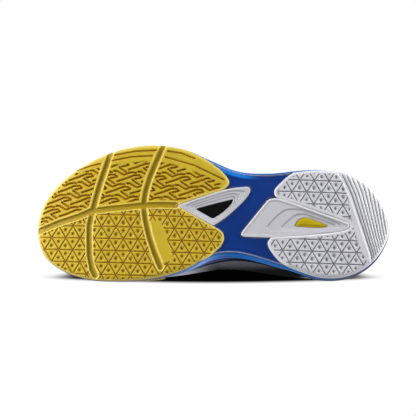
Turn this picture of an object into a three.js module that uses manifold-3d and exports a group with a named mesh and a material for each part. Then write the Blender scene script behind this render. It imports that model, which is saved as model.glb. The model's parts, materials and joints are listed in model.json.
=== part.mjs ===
// Court shoe, left foot, standing on its sole.
// Millimetres. +Z up, +X to the toe, +Y to the outer (lateral) side.
// The origin is on the ground, at the middle of the bounding box.

import * as THREE from 'three';
import Module from 'manifold-3d';
import { mergeVertices } from 'three/addons/utils/BufferGeometryUtils.js';

const wasm = await Module();
wasm.setup();

// ---------------------------------------------------------------- driving sizes

const GAP = 0.35;             // clearance between pieces that are glued or stitched together
const RUBBER = 4;             // thickness of the outsole layer
const TOE_SPRING = 14;        // how far the toe lifts off the ground
const SPRING_START = 62;      // where the toe spring begins
const TOE_X = 145;            // toe and heel ends
const HEEL_X = -145;
const BEVEL = 6;              // lift at the back edge of the heel
const BEVEL_START = -116;
const WAIST_RISE = 5;         // lift of the waist between ball and heel
const WAIST_BACK = -70;
const WAIST_FRONT = 22;
const HEEL_STACK = 23;        // ground to the top of the midsole at the heel
const BALL_STACK = 15;        // and under the ball of the foot
const STACK_BACK = -90;       // the stack falls from heel height to ball height between these
const STACK_FRONT = 45;
const BOARD = 1.8;            // insole board
const SOCK = 4.2;             // sockliner foam
const SOCK_COVER = 1;         // sockliner textile
const SKIN = 1.6;             // main panels of the upper
const OVERLAY = 1.3;          // overlays on top of them
const EYELETS = 6;            // on each side
const EYELET_RADIUS = 2;
const TONGUE_WALL = 2;        // outer skin of the tongue
const TONGUE_PAD = 5;         // its foam
const LAYER_GAP = 0.9;        // clearance between curved layers of the upper
const SEAT = 1;               // the upper's lower edge above the midsole

// ---------------------------------------------------------------- heights along the shoe

const clamp01 = (v) => Math.min(1, Math.max(0, v));
const smooth = (v) => v * v * (3 - 2 * v);

const spring = (x) => TOE_SPRING * clamp01((x - SPRING_START) / (TOE_X - SPRING_START)) ** 2;
const bevel = (x) => BEVEL * clamp01((BEVEL_START - x) / (BEVEL_START - HEEL_X)) ** 2;

function waist(x) {
  const v = clamp01((x - WAIST_BACK) / (WAIST_FRONT - WAIST_BACK));
  return WAIST_RISE * Math.sin(Math.PI * v) ** 2;
}

const groundSide = (x) => spring(x) + bevel(x) + waist(x);

function footSide(x) {
  const v = smooth(clamp01((x - STACK_BACK) / (STACK_FRONT - STACK_BACK)));
  return spring(x) + HEEL_STACK + (BALL_STACK - HEEL_STACK) * v;
}

// ---------------------------------------------------------------- outlines

// Outlines run from the toe along the outer side to the heel, and back along the inner side.
// Each point on one side has a partner at about the same x on the other side.
const SOLE_OUTLINE = [
  [144.9, -13], [139, 9], [124, 27], [104, 40.5], [80, 50.8], [52, 55.6], [24, 52.3], [0, 41.6],
  [-20, 34], [-45, 31.8], [-88, 34.8], [-113, 30.9], [-132, 17],
  [-144.8, -11],
  [-134, -36], [-114, -50.2], [-90, -53.3], [-57, -43.5], [-20, -33], [0, -34.5], [24, -47],
  [52, -54], [80, -55.6], [104, -53.6], [124, -46.6], [139, -34.6],
];

// The feather line, where the upper meets the midsole. Its waist is fuller than the sole's.
const FEATHER_OUTLINE = [
  [139, -13], [133, 7], [119, 23.5], [100, 36.5], [78, 46.3], [51, 51], [24, 47.6], [0, 38.4],
  [-20, 32], [-45, 29.6], [-86, 30.4], [-109, 27], [-127, 14],
  [-139, -11],
  [-129, -33], [-110, -46], [-88, -48.4], [-57, -42.6], [-20, -36.8], [0, -39.4], [24, -46.4],
  [51, -50.6], [78, -51.4], [100, -49.4], [119, -42.5], [133, -31],
];

// The top edge of the upper: the throat in front, then the collar. Plan and height.
const TOP_EDGE = [
  [50, -1, 62], [49.5, 2, 62.2], [48, 5, 62.6], [46, 8, 63.4], [42, 11, 65], [33, 13.6, 68.6],
  [16, 15.8, 76], [0, 18.5, 83.6], [-14, 22, 89], [-34, 26.5, 84], [-68, 29, 71], [-92, 25, 73.5],
  [-112, 13, 82],
  [-121, -9, 89],
  [-113, -30, 83], [-94, -42, 75.5], [-70, -45, 73], [-36, -37.5, 85.5], [-14, -26, 90.5],
  [0, -20, 84.6], [16, -16.8, 76.6], [33, -14.8, 69], [42, -12.4, 65.2], [46, -9.6, 63.5],
  [48, -6.8, 62.6], [49.5, -4, 62.2],
];

const STATIONS = SOLE_OUTLINE.length;
const HEEL = STATIONS / 2;     // the station at the back of the heel

// Per station: how far the upper stands out at its lower and upper handles, and how high
// the lower handle reaches.
const BULGE = [
  [5, 46, 24], [5, 42, 24], [5, 36, 24], [5, 30, 24], [4, 24, 22], [4, 19, 20],
  [5, 16, 20], [4, 13, 22], [3.5, 8, 24], [3.5, 5, 24], [5, 4, 20], [6, 4, 20], [6, 6, 20],
  [6, 8, 22],
  [6, 6, 20], [5, 4, 20], [5, 4, 20], [10, 6, 22], [16, 9, 22],
  [14, 13, 22], [8, 16, 20], [4, 20, 20], [4, 25, 22], [5, 30, 24], [5, 36, 24], [5, 42, 24],
];

function closedCurve(points) {
  const vectors = points.map(([x, y, z = 0]) => new THREE.Vector3(x, y, z));
  return new THREE.CatmullRomCurve3(vectors, true, 'centripetal');
}

// A curve's point at a station number, which may be a fraction and may be negative.
function atStation(curve, k) {
  return curve.getPoint((((k / STATIONS) % 1) + 1) % 1);
}

const soleCurve = closedCurve(SOLE_OUTLINE);
const featherCurve = closedCurve(FEATHER_OUTLINE);
const topCurve = closedCurve(TOP_EDGE);
const bulgeCurve = closedCurve(BULGE);

// ---------------------------------------------------------------- solids

// One closed body from rings of equal length that have a partner point for each point.
// The caps join partners across the ring.
function ringLoft(rings) {
  const n = rings[0].length;
  const positions = rings.flat().flatMap((p) => [p.x, p.y, p.z]);
  const index = [];
  const quad = (a, b, c, d) => index.push(a, b, c, a, c, d);
  for (let r = 0; r + 1 < rings.length; r += 1) {
    for (let i = 0; i < n; i += 1) {
      const j = (i + 1) % n;
      quad(r * n + i, r * n + j, (r + 1) * n + j, (r + 1) * n + i);
    }
  }
  const top = (rings.length - 1) * n;
  const partner = (i) => (n - i) % n;
  for (let i = 0; i < n / 2; i += 1) {
    const a = i;
    const b = i + 1;
    const c = partner(b);
    const d = partner(a);
    if (a === d) {
      index.push(a, c, b);
      index.push(top + a, top + b, top + c);
    } else if (b === c) {
      index.push(a, d, b);
      index.push(top + a, top + b, top + d);
    } else {
      quad(a, d, c, b);
      quad(top + a, top + b, top + c, top + d);
    }
  }
  return facingOut(geometryOf(positions, index));
}

function geometryOf(positions, index) {
  const geometry = new THREE.BufferGeometry();
  geometry.setAttribute('position', new THREE.Float32BufferAttribute(positions, 3));
  geometry.setIndex(index);
  return geometry;
}

function signedVolume(geometry) {
  const p = geometry.getAttribute('position');
  const a = new THREE.Vector3();
  const b = new THREE.Vector3();
  const c = new THREE.Vector3();
  let sum = 0;
  for (let i = 0; i < geometry.index.count; i += 3) {
    a.fromBufferAttribute(p, geometry.index.getX(i));
    b.fromBufferAttribute(p, geometry.index.getX(i + 1));
    c.fromBufferAttribute(p, geometry.index.getX(i + 2));
    sum += a.dot(b.cross(c)) / 6;
  }
  return sum;
}

function facingOut(geometry) {
  if (signedVolume(geometry) < 0) {
    const turned = Array.from(geometry.index.array).reverse();
    geometry.setIndex(turned);
  }
  return geometry;
}

// The ring of an outline at a height, moved in or out by `grow` along its own normal.
function ring(curve, steps, height, grow = 0) {
  const points = [];
  for (let i = 0; i < steps; i += 1) {
    const k = (i * STATIONS) / steps;
    const p = atStation(curve, k);
    const ahead = atStation(curve, k + 0.05).sub(atStation(curve, k - 0.05)).normalize();
    const q = new THREE.Vector3(p.x + ahead.y * grow, p.y - ahead.x * grow, 0);
    q.z = height(q.x);
    points.push(q);
  }
  return points;
}

const SOLE_STEPS = 3 * STATIONS;

function slab(curve, low, high, grow = 0) {
  return ringLoft([
    ring(curve, SOLE_STEPS, low, grow),
    ring(curve, SOLE_STEPS, high, grow),
  ]);
}

function solidOf(geometry) {
  const bare = geometry.clone();
  bare.deleteAttribute('normal');
  bare.deleteAttribute('uv');
  const merged = mergeVertices(bare, 1e-4);
  return new wasm.Manifold(new wasm.Mesh({
    numProp: 3,
    vertProperties: new Float32Array(merged.getAttribute('position').array),
    triVerts: new Uint32Array(merged.index.array),
  }));
}

function geometryFrom(solid) {
  const mesh = solid.getMesh();
  return geometryOf(Array.from(mesh.vertProperties), Array.from(mesh.triVerts));
}

// A tall block with a plan outline, used to cut the sole layer into its pieces.
const BLOCK_LOW = -20;
const BLOCK_HIGH = 60;

function block(points, grow = 0) {
  const shape = new THREE.Shape(grown(points, grow).map(([x, y]) => new THREE.Vector2(x, y)));
  const geometry = new THREE.ExtrudeGeometry(shape, {
    depth: BLOCK_HIGH - BLOCK_LOW,
    bevelEnabled: false,
  });
  geometry.translate(0, 0, BLOCK_LOW);
  return solidOf(geometry);
}

// A plan outline moved out by d (or in, where d is negative).
function grown(points, d) {
  if (d === 0) return points;
  const n = points.length;
  let area = 0;
  points.forEach(([x, y], i) => {
    const [x2, y2] = points[(i + 1) % n];
    area += x * y2 - x2 * y;
  });
  const side = area > 0 ? 1 : -1;
  return points.map(([x, y], i) => {
    const before = points[(i + n - 1) % n];
    const after = points[(i + 1) % n];
    const u = new THREE.Vector2(x - before[0], y - before[1]).normalize();
    const v = new THREE.Vector2(after[0] - x, after[1] - y).normalize();
    const normal = new THREE.Vector2(u.y + v.y, -u.x - v.x).normalize();
    const stretch = 1 / Math.max(0.5, normal.dot(new THREE.Vector2(u.y, -u.x)));
    return [x + normal.x * side * d * stretch, y + normal.y * side * d * stretch];
  });
}

// ---------------------------------------------------------------- plan of the sole pieces

const NOTCH_TIP = [29.8, 5.8];          // where the frame's point enters the forefoot rubber

const FOREFOOT_PLAN = [
  [200, -80], [60, -80], [30, -60], [14, -44], [2.6, -35.6], [-2.4, -31], [-7, -26.6], [-9, -21],
  [-7.6, -16.2], [-4.9, -13.6], [0.1, -10.9], NOTCH_TIP, [10.8, 12.4], [-7.3, 18.6], [-12.3, 21.9],
  [-13.2, 25.2], [-11.5, 29.3], [-7, 35], [-4, 44], [10, 60], [60, 80], [200, 80],
];

const MIDFOOT_FRAME_PLAN = [
  NOTCH_TIP, [-12.3, 20.6], [-25, 21.6], [-29, 21.4], [-30.6, 19.4], [-22.2, 11.1],
  [-13, 2.1], [-2.4, -8], [0.1, -10.7],
];

const WINDOW_PLAN = [[12.9, 2.5], [-15.6, 10.3], [-15.6, 8.7], [0.1, -4.1]];

// The heel rubber's two lobes part along this line, which the heel frame fills.
const HEEL_VALLEY = [
  [-48.6, -20.2], [-71.7, -19], [-104.7, -15.3], [-111, -12], [-110.5, -8.7], [-104.7, -5.8],
  [-88.2, 0.4], [-71.7, 6.2], [-54.4, 11.1],
];

const HEEL_RUBBER_PLAN = [
  [-200, -80], [-66, -80], [-60, -44.2], [-49.4, -34.2], [-45.3, -28.5], [-44.5, -25.2], [-45.3, -22.7],
  ...HEEL_VALLEY,
  [-51.1, 14.4], [-49.8, 18.6], [-55.2, 25.6], [-63.4, 30.1], [-68, 80], [-200, 80],
];

const HEEL_FRAME_PLAN = [
  [-21, -19.4], [-23, -20.2], ...HEEL_VALLEY, [-51, 12.8], [-47, 11.6],
];

const HEEL_WINDOW_PLAN = [
  [-67.6, -10.3], [-70, -5.8], [-74.2, -3.7], [-78.3, -4.1], [-93.1, -9.9], [-92.3, -11.1],
  [-69.2, -12.4],
];

// ---------------------------------------------------------------- sole pieces

const layerTop = (x) => groundSide(x) + RUBBER;
const soleLayer = solidOf(slab(soleCurve, groundSide, layerTop));

function forefootOutsole() {
  return geometryFrom(soleLayer.intersect(block(FOREFOOT_PLAN)).subtract(block(MIDFOOT_FRAME_PLAN, GAP)));
}

function heelOutsole() {
  return geometryFrom(soleLayer.intersect(block(HEEL_RUBBER_PLAN)).subtract(block(HEEL_FRAME_PLAN, GAP)));
}

function shankPlate() {
  return geometryFrom(soleLayer
    .subtract(block(FOREFOOT_PLAN, GAP))
    .subtract(block(HEEL_RUBBER_PLAN, GAP))
    .subtract(block(MIDFOOT_FRAME_PLAN, GAP))
    .subtract(block(HEEL_FRAME_PLAN, GAP)));
}

function midfootFrame() {
  return geometryFrom(soleLayer.intersect(block(MIDFOOT_FRAME_PLAN)).subtract(block(WINDOW_PLAN, GAP)));
}

function windowInsert() {
  return geometryFrom(soleLayer.intersect(block(WINDOW_PLAN)));
}

function heelFrame() {
  return geometryFrom(soleLayer.intersect(block(HEEL_FRAME_PLAN)).subtract(block(HEEL_WINDOW_PLAN, GAP)));
}

function heelCushion() {
  return geometryFrom(soleLayer.intersect(block(HEEL_WINDOW_PLAN)));
}

// The midsole flares from the outsole's edge to the feather line.
const midsoleLow = (x) => layerTop(x) + GAP;
const WING_BACK = 8.2;         // stations that the side wings cover, on the outer side
const WING_FRONT = 6.4;

function midsole() {
  const middle = (x) => (midsoleLow(x) + footSide(x)) / 2;
  return ringLoft([
    ring(soleCurve, SOLE_STEPS, midsoleLow, -0.8),
    ring(soleCurve, SOLE_STEPS, middle, -0.4),
    blendRing(footSide),
  ]);
}

// Halfway between the sole's edge and the feather line, a little outside the upper.
function blendRing(height) {
  const outer = ring(soleCurve, SOLE_STEPS, height, -1.4);
  const inner = ring(featherCurve, SOLE_STEPS, height, 1.6);
  return outer.map((p, i) => {
    const q = p.clone().lerp(inner[i], 0.5);
    q.z = height(q.x);
    return q;
  });
}

// A side wing is a thin wall that stands against the side of the midsole at the waist.
const WING_WALL = 1.4;
const WING_GAP = 0.6;

function sideWing(first, last) {
  const steps = 14;
  const rows = [];
  const heights = [
    [(x) => layerTop(x) - 2.6, soleCurve, 0],
    [(x) => (midsoleLow(x) + footSide(x)) / 2, soleCurve, 0],
    [(x) => footSide(x) - 1.5, null, 0],
  ];
  for (let i = 0; i <= steps; i += 1) {
    const k = first + ((last - first) * i) / steps;
    const row = heights.map(([height, curve, grow]) => wallPoint(k, height, curve, grow));
    rows.push(row);
  }
  return thickPatch(rows, (i, j) => outwardInPlan(first + ((last - first) * i) / steps), WING_GAP,
    WING_GAP + WING_WALL);
}

function outwardInPlan(k) {
  const ahead = atStation(soleCurve, k + 0.2).sub(atStation(soleCurve, k - 0.2)).normalize();
  return new THREE.Vector3(ahead.y, -ahead.x, 0);
}

function wallPoint(k, height, curve, grow) {
  const out = outwardInPlan(k);
  let p;
  if (curve) {
    p = atStation(curve, k).addScaledVector(out, grow);
  } else {
    const a = atStation(soleCurve, k).addScaledVector(out, -1.4);
    const b = atStation(featherCurve, k).addScaledVector(out, 1.6);
    p = a.lerp(b, 0.5);
  }
  p.z = height(p.x);
  return p;
}

// A patch of points (rows of equal length) given a thickness along `direction`.
function thickPatch(rows, direction, inner, outer) {
  const m = rows.length;
  const n = rows[0].length;
  const positions = [];
  [inner, outer].forEach((distance) => {
    rows.forEach((row, i) => row.forEach((p, j) => {
      const q = p.clone().addScaledVector(direction(i, j), distance);
      positions.push(q.x, q.y, q.z);
    }));
  });
  const index = [];
  const at = (layer, i, j) => layer * m * n + i * n + j;
  const quad = (a, b, c, d) => index.push(a, b, c, a, c, d);
  for (let i = 0; i + 1 < m; i += 1) {
    for (let j = 0; j + 1 < n; j += 1) {
      quad(at(0, i, j), at(0, i, j + 1), at(0, i + 1, j + 1), at(0, i + 1, j));
      quad(at(1, i, j), at(1, i + 1, j), at(1, i + 1, j + 1), at(1, i, j + 1));
    }
  }
  for (let i = 0; i + 1 < m; i += 1) {
    quad(at(0, i, 0), at(0, i + 1, 0), at(1, i + 1, 0), at(1, i, 0));
    quad(at(0, i + 1, n - 1), at(0, i, n - 1), at(1, i, n - 1), at(1, i + 1, n - 1));
  }
  for (let j = 0; j + 1 < n; j += 1) {
    quad(at(0, 0, j + 1), at(0, 0, j), at(1, 0, j), at(1, 0, j + 1));
    quad(at(0, m - 1, j), at(0, m - 1, j + 1), at(1, m - 1, j + 1), at(1, m - 1, j));
  }
  return facingOut(geometryOf(positions, index));
}

// ---------------------------------------------------------------- inside the shoe

const BOARD_INSET = -5.5;
const SOCK_INSET = -7.5;

function insoleBoard() {
  return slab(featherCurve, (x) => footSide(x) + GAP, (x) => footSide(x) + GAP + BOARD, BOARD_INSET);
}

const sockLow = (x) => footSide(x) + 2 * GAP + BOARD;

function socklinerFoam() {
  return slab(featherCurve, sockLow, (x) => sockLow(x) + SOCK, SOCK_INSET);
}

function socklinerCover() {
  const low = (x) => sockLow(x) + SOCK + GAP;
  return slab(featherCurve, low, (x) => low(x) + SOCK_COVER, SOCK_INSET);
}

// ---------------------------------------------------------------- the upper's surface

// The upper is one surface: k runs round the shoe by station, t from the feather line (0)
// to the top edge (1). Every panel is a piece of it, at its own depth.
function upperPoint(k, t) {
  const foot = atStation(featherCurve, k);
  const top = atStation(topCurve, k);
  const bulge = atStation(bulgeCurve, k);
  foot.z = footSide(foot.x) + SEAT;
  const ahead = atStation(featherCurve, k + 0.3).sub(atStation(featherCurve, k - 0.3));
  const out = new THREE.Vector3(ahead.y, -ahead.x, 0).normalize();
  const low = foot.clone().addScaledVector(out, bulge.x);
  low.z += bulge.z;
  const high = top.clone().addScaledVector(out, bulge.y);
  high.z -= topDrop(k);
  return new THREE.CubicBezierCurve3(foot, low, high, top).getPoint(t);
}

// The upper handle's drop: small over the toe and instep, large at the upright collar.
const COLLAR_DROP = 20;
const THROAT_DROP = 3;
const COLLAR_FRONT = 8;        // station of the top eyelet, on the outer side

function topDrop(k) {
  const fromToe = Math.abs(((k + HEEL) % STATIONS + STATIONS) % STATIONS - HEEL);
  return THROAT_DROP + (COLLAR_DROP - THROAT_DROP) * smooth(clamp01((fromToe - 4) / (COLLAR_FRONT - 3)));
}

function upperNormal(k, t) {
  const t0 = Math.max(0, t - 0.01);
  const t1 = Math.min(1, t + 0.01);
  const along = upperPoint(k + 0.05, t).sub(upperPoint(k - 0.05, t));
  const up = upperPoint(k, t1).sub(upperPoint(k, t0));
  return along.cross(up).normalize();
}

// A panel between two stations and two heights; the heights may change with the station.
function panel(k0, k1, t0, t1, inner, outer, kSteps, tSteps) {
  const low = typeof t0 === 'function' ? t0 : () => t0;
  const high = typeof t1 === 'function' ? t1 : () => t1;
  const rows = [];
  const normals = [];
  for (let i = 0; i <= kSteps; i += 1) {
    const k = k0 + ((k1 - k0) * i) / kSteps;
    const row = [];
    const normalRow = [];
    for (let j = 0; j <= tSteps; j += 1) {
      const t = low(k) + ((high(k) - low(k)) * j) / tSteps;
      row.push(upperPoint(k, t));
      normalRow.push(upperNormal(k, t));
    }
    rows.push(row);
    normals.push(normalRow);
  }
  return thickPatch(rows, (i, j) => normals[i][j], inner, outer);
}

const OVER = SKIN + LAYER_GAP;                 // depth at which the overlays start
const UNDER = -LAYER_GAP;                      // depth at which the inner pieces start

function skin(k0, k1, t0, t1, kSteps, tSteps) {
  return panel(k0, k1, t0, t1, 0, SKIN, kSteps, tSteps);
}

function overlay(k0, k1, t0, t1, kSteps, tSteps, thick = OVERLAY) {
  return panel(k0, k1, t0, t1, OVER, (OVER + thick), kSteps, tSteps);
}

function inside(k0, k1, t0, t1, from, to, kSteps, tSteps) {
  return panel(k0, k1, t0, t1, from, to, kSteps, tSteps);
}

// ---------------------------------------------------------------- eyelets

// A round punch along the surface's normal.
function punch(k, t) {
  const length = 14;
  const geometry = new THREE.CylinderGeometry(EYELET_RADIUS, EYELET_RADIUS, length, 8);
  const normal = upperNormal(k, t);
  const turn = new THREE.Quaternion().setFromUnitVectors(new THREE.Vector3(0, 1, 0), normal);
  const place = new THREE.Matrix4().compose(upperPoint(k, t), turn, new THREE.Vector3(1, 1, 1));
  geometry.applyMatrix4(place);
  return solidOf(geometry);
}

const EYELET_FIRST = 3.9;      // station of the front eyelet, on the outer side
const EYELET_LAST = 7.75;
const EYELET_HEIGHT = 0.9;     // on the surface, towards the top edge

function punched(geometry, side) {
  let solid = solidOf(geometry);
  for (let i = 0; i < EYELETS; i += 1) {
    const k = EYELET_FIRST + ((EYELET_LAST - EYELET_FIRST) * i) / (EYELETS - 1);
    solid = solid.subtract(punch(side * k, EYELET_HEIGHT));
  }
  return geometryFrom(solid);
}

function punchedBoth(geometry) {
  return punched(punched(geometry, 1), -1);
}

// ---------------------------------------------------------------- the tongue

// The tongue is an arched plate under the lace bands. u runs from its base to its tip,
// v across it from -1 (inner side) to 1.
const TONGUE_BASE = [50, -1, 51];
const TONGUE_TIP = [-27, -2, 103];
const TONGUE_HALF = [18, 28];            // half width at the base and at the tip
const TONGUE_DROP = [8, 18];             // how far its sides fall
const TONGUE_SAG = -2;                   // the middle of its length, below the straight line

function tonguePoint(u, v, depth) {
  const base = new THREE.Vector3(...TONGUE_BASE);
  const tip = new THREE.Vector3(...TONGUE_TIP);
  const along = tip.clone().sub(base).normalize();
  const up = new THREE.Vector3(0, 1, 0).cross(along).normalize();
  if (up.z < 0) up.negate();
  const half = TONGUE_HALF[0] + (TONGUE_HALF[1] - TONGUE_HALF[0]) * u;
  const drop = TONGUE_DROP[0] + (TONGUE_DROP[1] - TONGUE_DROP[0]) * u;
  const p = base.lerp(tip, u);
  p.y += half * v;
  p.addScaledVector(up, TONGUE_SAG * 4 * u * (1 - u) - drop * v * v - depth);
  return p;
}

function tonguePatch(top, bottom, inset) {
  const uSteps = 12;
  const vSteps = 8;
  const rows = [];
  for (let i = 0; i <= uSteps; i += 1) {
    const u = inset / 2 + (1 - inset) * (i / uSteps);
    const row = [];
    for (let j = 0; j <= vSteps; j += 1) {
      row.push([u, (2 * (j / vSteps) - 1) * (1 - inset)]);
    }
    rows.push(row);
  }
  const down = tonguePoint(0, 0, 1).sub(tonguePoint(0, 0, 0));
  const points = rows.map((row) => row.map(([u, v]) => tonguePoint(u, v, 0)));
  return thickPatch(points, () => down, top, bottom);
}

// ---------------------------------------------------------------- the shoe

const shoe = new THREE.Group();

function add(name, geometry, color, roughness) {
  const material = new THREE.MeshStandardMaterial({ color, roughness, metalness: 0 });
  const mesh = new THREE.Mesh(geometry, material);
  mesh.name = name;
  shoe.add(mesh);
}

const YELLOW = 0xe0ca50;
const WHITE = 0xf0f0f2;
const BLUE = 0x0b3c9c;
const BRIGHT_BLUE = 0x1d86dc;
const BLACK = 0x0a0a0b;
const GREY = 0xb9bcc2;

add('forefoot_outsole', forefootOutsole(), YELLOW, 0.6);
add('heel_outsole', heelOutsole(), WHITE, 0.6);
add('shank_plate', shankPlate(), BLUE, 0.25);
add('midfoot_frame', midfootFrame(), WHITE, 0.4);
add('window_insert', windowInsert(), BLACK, 0.2);
add('heel_frame', heelFrame(), WHITE, 0.4);
add('heel_cushion', heelCushion(), YELLOW, 0.6);
add('midsole', midsole(), BLUE, 0.7);
add('lateral_side_wing', sideWing(WING_FRONT, WING_BACK + 1.6), BRIGHT_BLUE, 0.3);
add('medial_side_wing', sideWing(-WING_BACK - 1.2, -WING_FRONT), BRIGHT_BLUE, 0.3);

add('insole_board', insoleBoard(), GREY, 0.9);
add('sockliner_foam', socklinerFoam(), BLUE, 0.9);
add('sockliner_cover', socklinerCover(), BRIGHT_BLUE, 0.9);

// Base layer of the upper. Seams at these stations.
const VAMP_END = 4.6;
const SEAM = 0.03;             // half gap at a seam, in stations

add('vamp', punchedBoth(skin(-VAMP_END, VAMP_END, 0, 1, 34, 10)), WHITE, 0.8);
add('lateral_quarter', punched(skin(VAMP_END + SEAM, HEEL - SEAM, 0, 1, 24, 9), 1), WHITE, 0.8);
add('medial_quarter', punched(skin(-HEEL + SEAM, -VAMP_END - SEAM, 0, 1, 24, 9), -1), WHITE, 0.8);

// Overlays on the base layer. Each band's heights follow the surface.
const TOE_CAP_END = 3.4;
const toeCapTop = (k) => 0.42 - 0.3 * (k / TOE_CAP_END) ** 2;
add('toe_cap', overlay(-TOE_CAP_END, TOE_CAP_END, 0.01, toeCapTop, 24, 4), BLUE, 0.5);

const GUARD_START = -3.45;     // the drag guard sits behind the toe cap on the inner side
const GUARD_END = -5.4;
add('toe_drag_guard', overlay(GUARD_END, GUARD_START, 0.01, 0.3, 10, 3, 1.8), YELLOW, 0.6);

const BAND_START = 3;          // the lace bands run from beside the throat to the collar
const BAND_END = 8.3;
const BAND_LOW = 0.78;
function eyestay(side) {
  const k0 = side > 0 ? BAND_START : -BAND_END;
  const k1 = side > 0 ? BAND_END : -BAND_START;
  return punched(overlay(k0, k1, BAND_LOW, 0.995, 16, 2), side);
}
add('lateral_eyestay', eyestay(1), BLUE, 0.5);
add('medial_eyestay', eyestay(-1), BLUE, 0.5);

const SADDLE_START = 6.2;
const SADDLE_END = 8.1;
const SADDLE_LOW = 0.3;
const SADDLE_TOP = 0.765;
function saddle(side) {
  const k0 = side > 0 ? SADDLE_START : -SADDLE_END;
  const k1 = side > 0 ? SADDLE_END : -SADDLE_START;
  return overlay(k0, k1, SADDLE_LOW, SADDLE_TOP, 8, 6);
}
add('lateral_saddle', saddle(1), BRIGHT_BLUE, 0.5);
add('medial_saddle', saddle(-1), BRIGHT_BLUE, 0.5);

const CLIP_HALF = 2.6;         // the heel clip, in stations each way from the back
const clipTop = (k) => 0.5 - 0.32 * ((k - HEEL) / CLIP_HALF) ** 2;
add('heel_clip', overlay(HEEL - CLIP_HALF, HEEL + CLIP_HALF, 0.01, clipTop, 16, 3, 1.8), BLUE, 0.4);

const TAB_HALF = 0.34;         // the strip over the back seam, above the clip
add('heel_tab', overlay(HEEL - TAB_HALF, HEEL + TAB_HALF, 0.54, 0.99, 4, 6), BRIGHT_BLUE, 0.5);

// Linings and stiffeners on the inner face of the base layer.
const PUFF_END = 2.8;
const PUFF = 1.1;
add('toe_puff', inside(-PUFF_END, PUFF_END, 0.03, 0.34, UNDER - PUFF, UNDER, 18, 4), GREY, 0.9);

const LINING = 0.9;
const LINING_IN = UNDER - PUFF - LAYER_GAP;
add('vamp_lining',
  punchedBoth(inside(-VAMP_END, VAMP_END, 0.06, 0.94, LINING_IN - LINING, LINING_IN, 26, 8)),
  WHITE, 0.9);

const COUNTER_HALF = 4.4;
const COUNTER = 1.6;
const counterTop = (k) => 0.58 - 0.3 * ((k - HEEL) / COUNTER_HALF) ** 2;
add('heel_counter', inside(HEEL - COUNTER_HALF, HEEL + COUNTER_HALF, 0.05, counterTop,
  UNDER - COUNTER, UNDER, 22, 3), GREY, 0.9);

const PAD_HALF = 3.6;          // the padded collar
const PAD_LOW = 0.62;
const PAD = 5;
add('collar_padding', inside(HEEL - PAD_HALF, HEEL + PAD_HALF, PAD_LOW, 0.985, UNDER - PAD, UNDER, 26, 3),
  BRIGHT_BLUE, 0.9);

add('tongue_shell', tonguePatch(0, -TONGUE_WALL, 0), BLUE, 0.8);
add('tongue_foam', tonguePatch(-TONGUE_WALL - GAP, -TONGUE_WALL - GAP - TONGUE_PAD, 0.12), GREY, 0.9);

export default shoe;
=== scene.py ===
"""Court shoe, left foot: the finish of every piece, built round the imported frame.

Sizes in this file are millimetres; a mesh is turned to metres as it is made.
+X runs to the toe, +Y to the outer side, +Z up. The tread faces down.
"""

import json
import math

import bpy
import numpy as np
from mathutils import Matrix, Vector, geometry


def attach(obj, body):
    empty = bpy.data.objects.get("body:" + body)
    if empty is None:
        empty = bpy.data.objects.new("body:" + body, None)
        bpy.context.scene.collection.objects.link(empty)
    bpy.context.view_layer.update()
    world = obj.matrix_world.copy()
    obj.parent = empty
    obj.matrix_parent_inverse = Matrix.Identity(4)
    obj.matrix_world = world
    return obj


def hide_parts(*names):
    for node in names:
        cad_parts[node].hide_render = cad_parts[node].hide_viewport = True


bl_info = {
    "name": "Court shoe",
    "version": (1, 0, 0),
    "blender": (4, 5, 0),
    "location": "3D View > Sidebar > Shoe",
    "description": "Builds a court shoe piece by piece: tread, plates, midsole, upper and linings",
    "category": "Add Mesh",
}

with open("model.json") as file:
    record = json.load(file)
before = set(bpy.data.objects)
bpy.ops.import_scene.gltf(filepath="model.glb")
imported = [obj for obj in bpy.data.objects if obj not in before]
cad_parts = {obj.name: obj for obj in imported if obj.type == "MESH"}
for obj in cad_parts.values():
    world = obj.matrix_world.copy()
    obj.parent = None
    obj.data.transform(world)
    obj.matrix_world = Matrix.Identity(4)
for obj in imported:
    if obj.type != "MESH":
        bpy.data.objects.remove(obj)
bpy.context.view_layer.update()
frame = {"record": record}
MM = 0.001


# ---------------------------------------------------------------- driving sizes

RUBBER = 4.0              # thickness of the outsole layer
LEAST_RUBBER = 0.4        # what every cut leaves of it
TOE_X = 145.0
HEEL_X = -145.0
TOE_SPRING = 14.0         # how far the toe turns up, from SPRING_START on
SPRING_START = 62.0
BEVEL = 6.0               # how far the heel's back edge turns up, from BEVEL_START on
BEVEL_START = -116.0
WAIST_RISE = 5.0          # the arch, between WAIST_BACK and WAIST_FRONT
WAIST_BACK = -70.0
WAIST_FRONT = 22.0
HEEL_STACK = 23.0         # height of the footbed behind STACK_BACK
BALL_STACK = 15.0         # and in front of STACK_FRONT
STACK_BACK = -90.0
STACK_FRONT = 45.0
SKIN = 1.6                # main panels of the upper
LAYER = 0.15              # between two bonded layers
OVERLAY = 1.1             # a stitched or bonded layer of the upper


def clamp01(v):
    """Values cut to the range 0 to 1."""
    return np.clip(v, 0.0, 1.0)


def smooth(v):
    """A soft step: 0 below 0, 1 above 1."""
    v = clamp01(v)
    return v * v * (3 - 2 * v)


def ground_side(x):
    """Height of the tread's lowest face above the ground, along the shoe."""
    spring = TOE_SPRING * clamp01((x - SPRING_START) / (TOE_X - SPRING_START)) ** 2
    bevel = BEVEL * clamp01((BEVEL_START - x) / (BEVEL_START - HEEL_X)) ** 2
    waist = clamp01((x - WAIST_BACK) / (WAIST_FRONT - WAIST_BACK))
    return spring + bevel + WAIST_RISE * np.sin(np.pi * waist) ** 2


def foot_side(x):
    """Height of the midsole's top face."""
    spring = TOE_SPRING * clamp01((x - SPRING_START) / (TOE_X - SPRING_START)) ** 2
    fall = smooth((x - STACK_BACK) / (STACK_FRONT - STACK_BACK))
    return spring + HEEL_STACK + (BALL_STACK - HEEL_STACK) * fall


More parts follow.
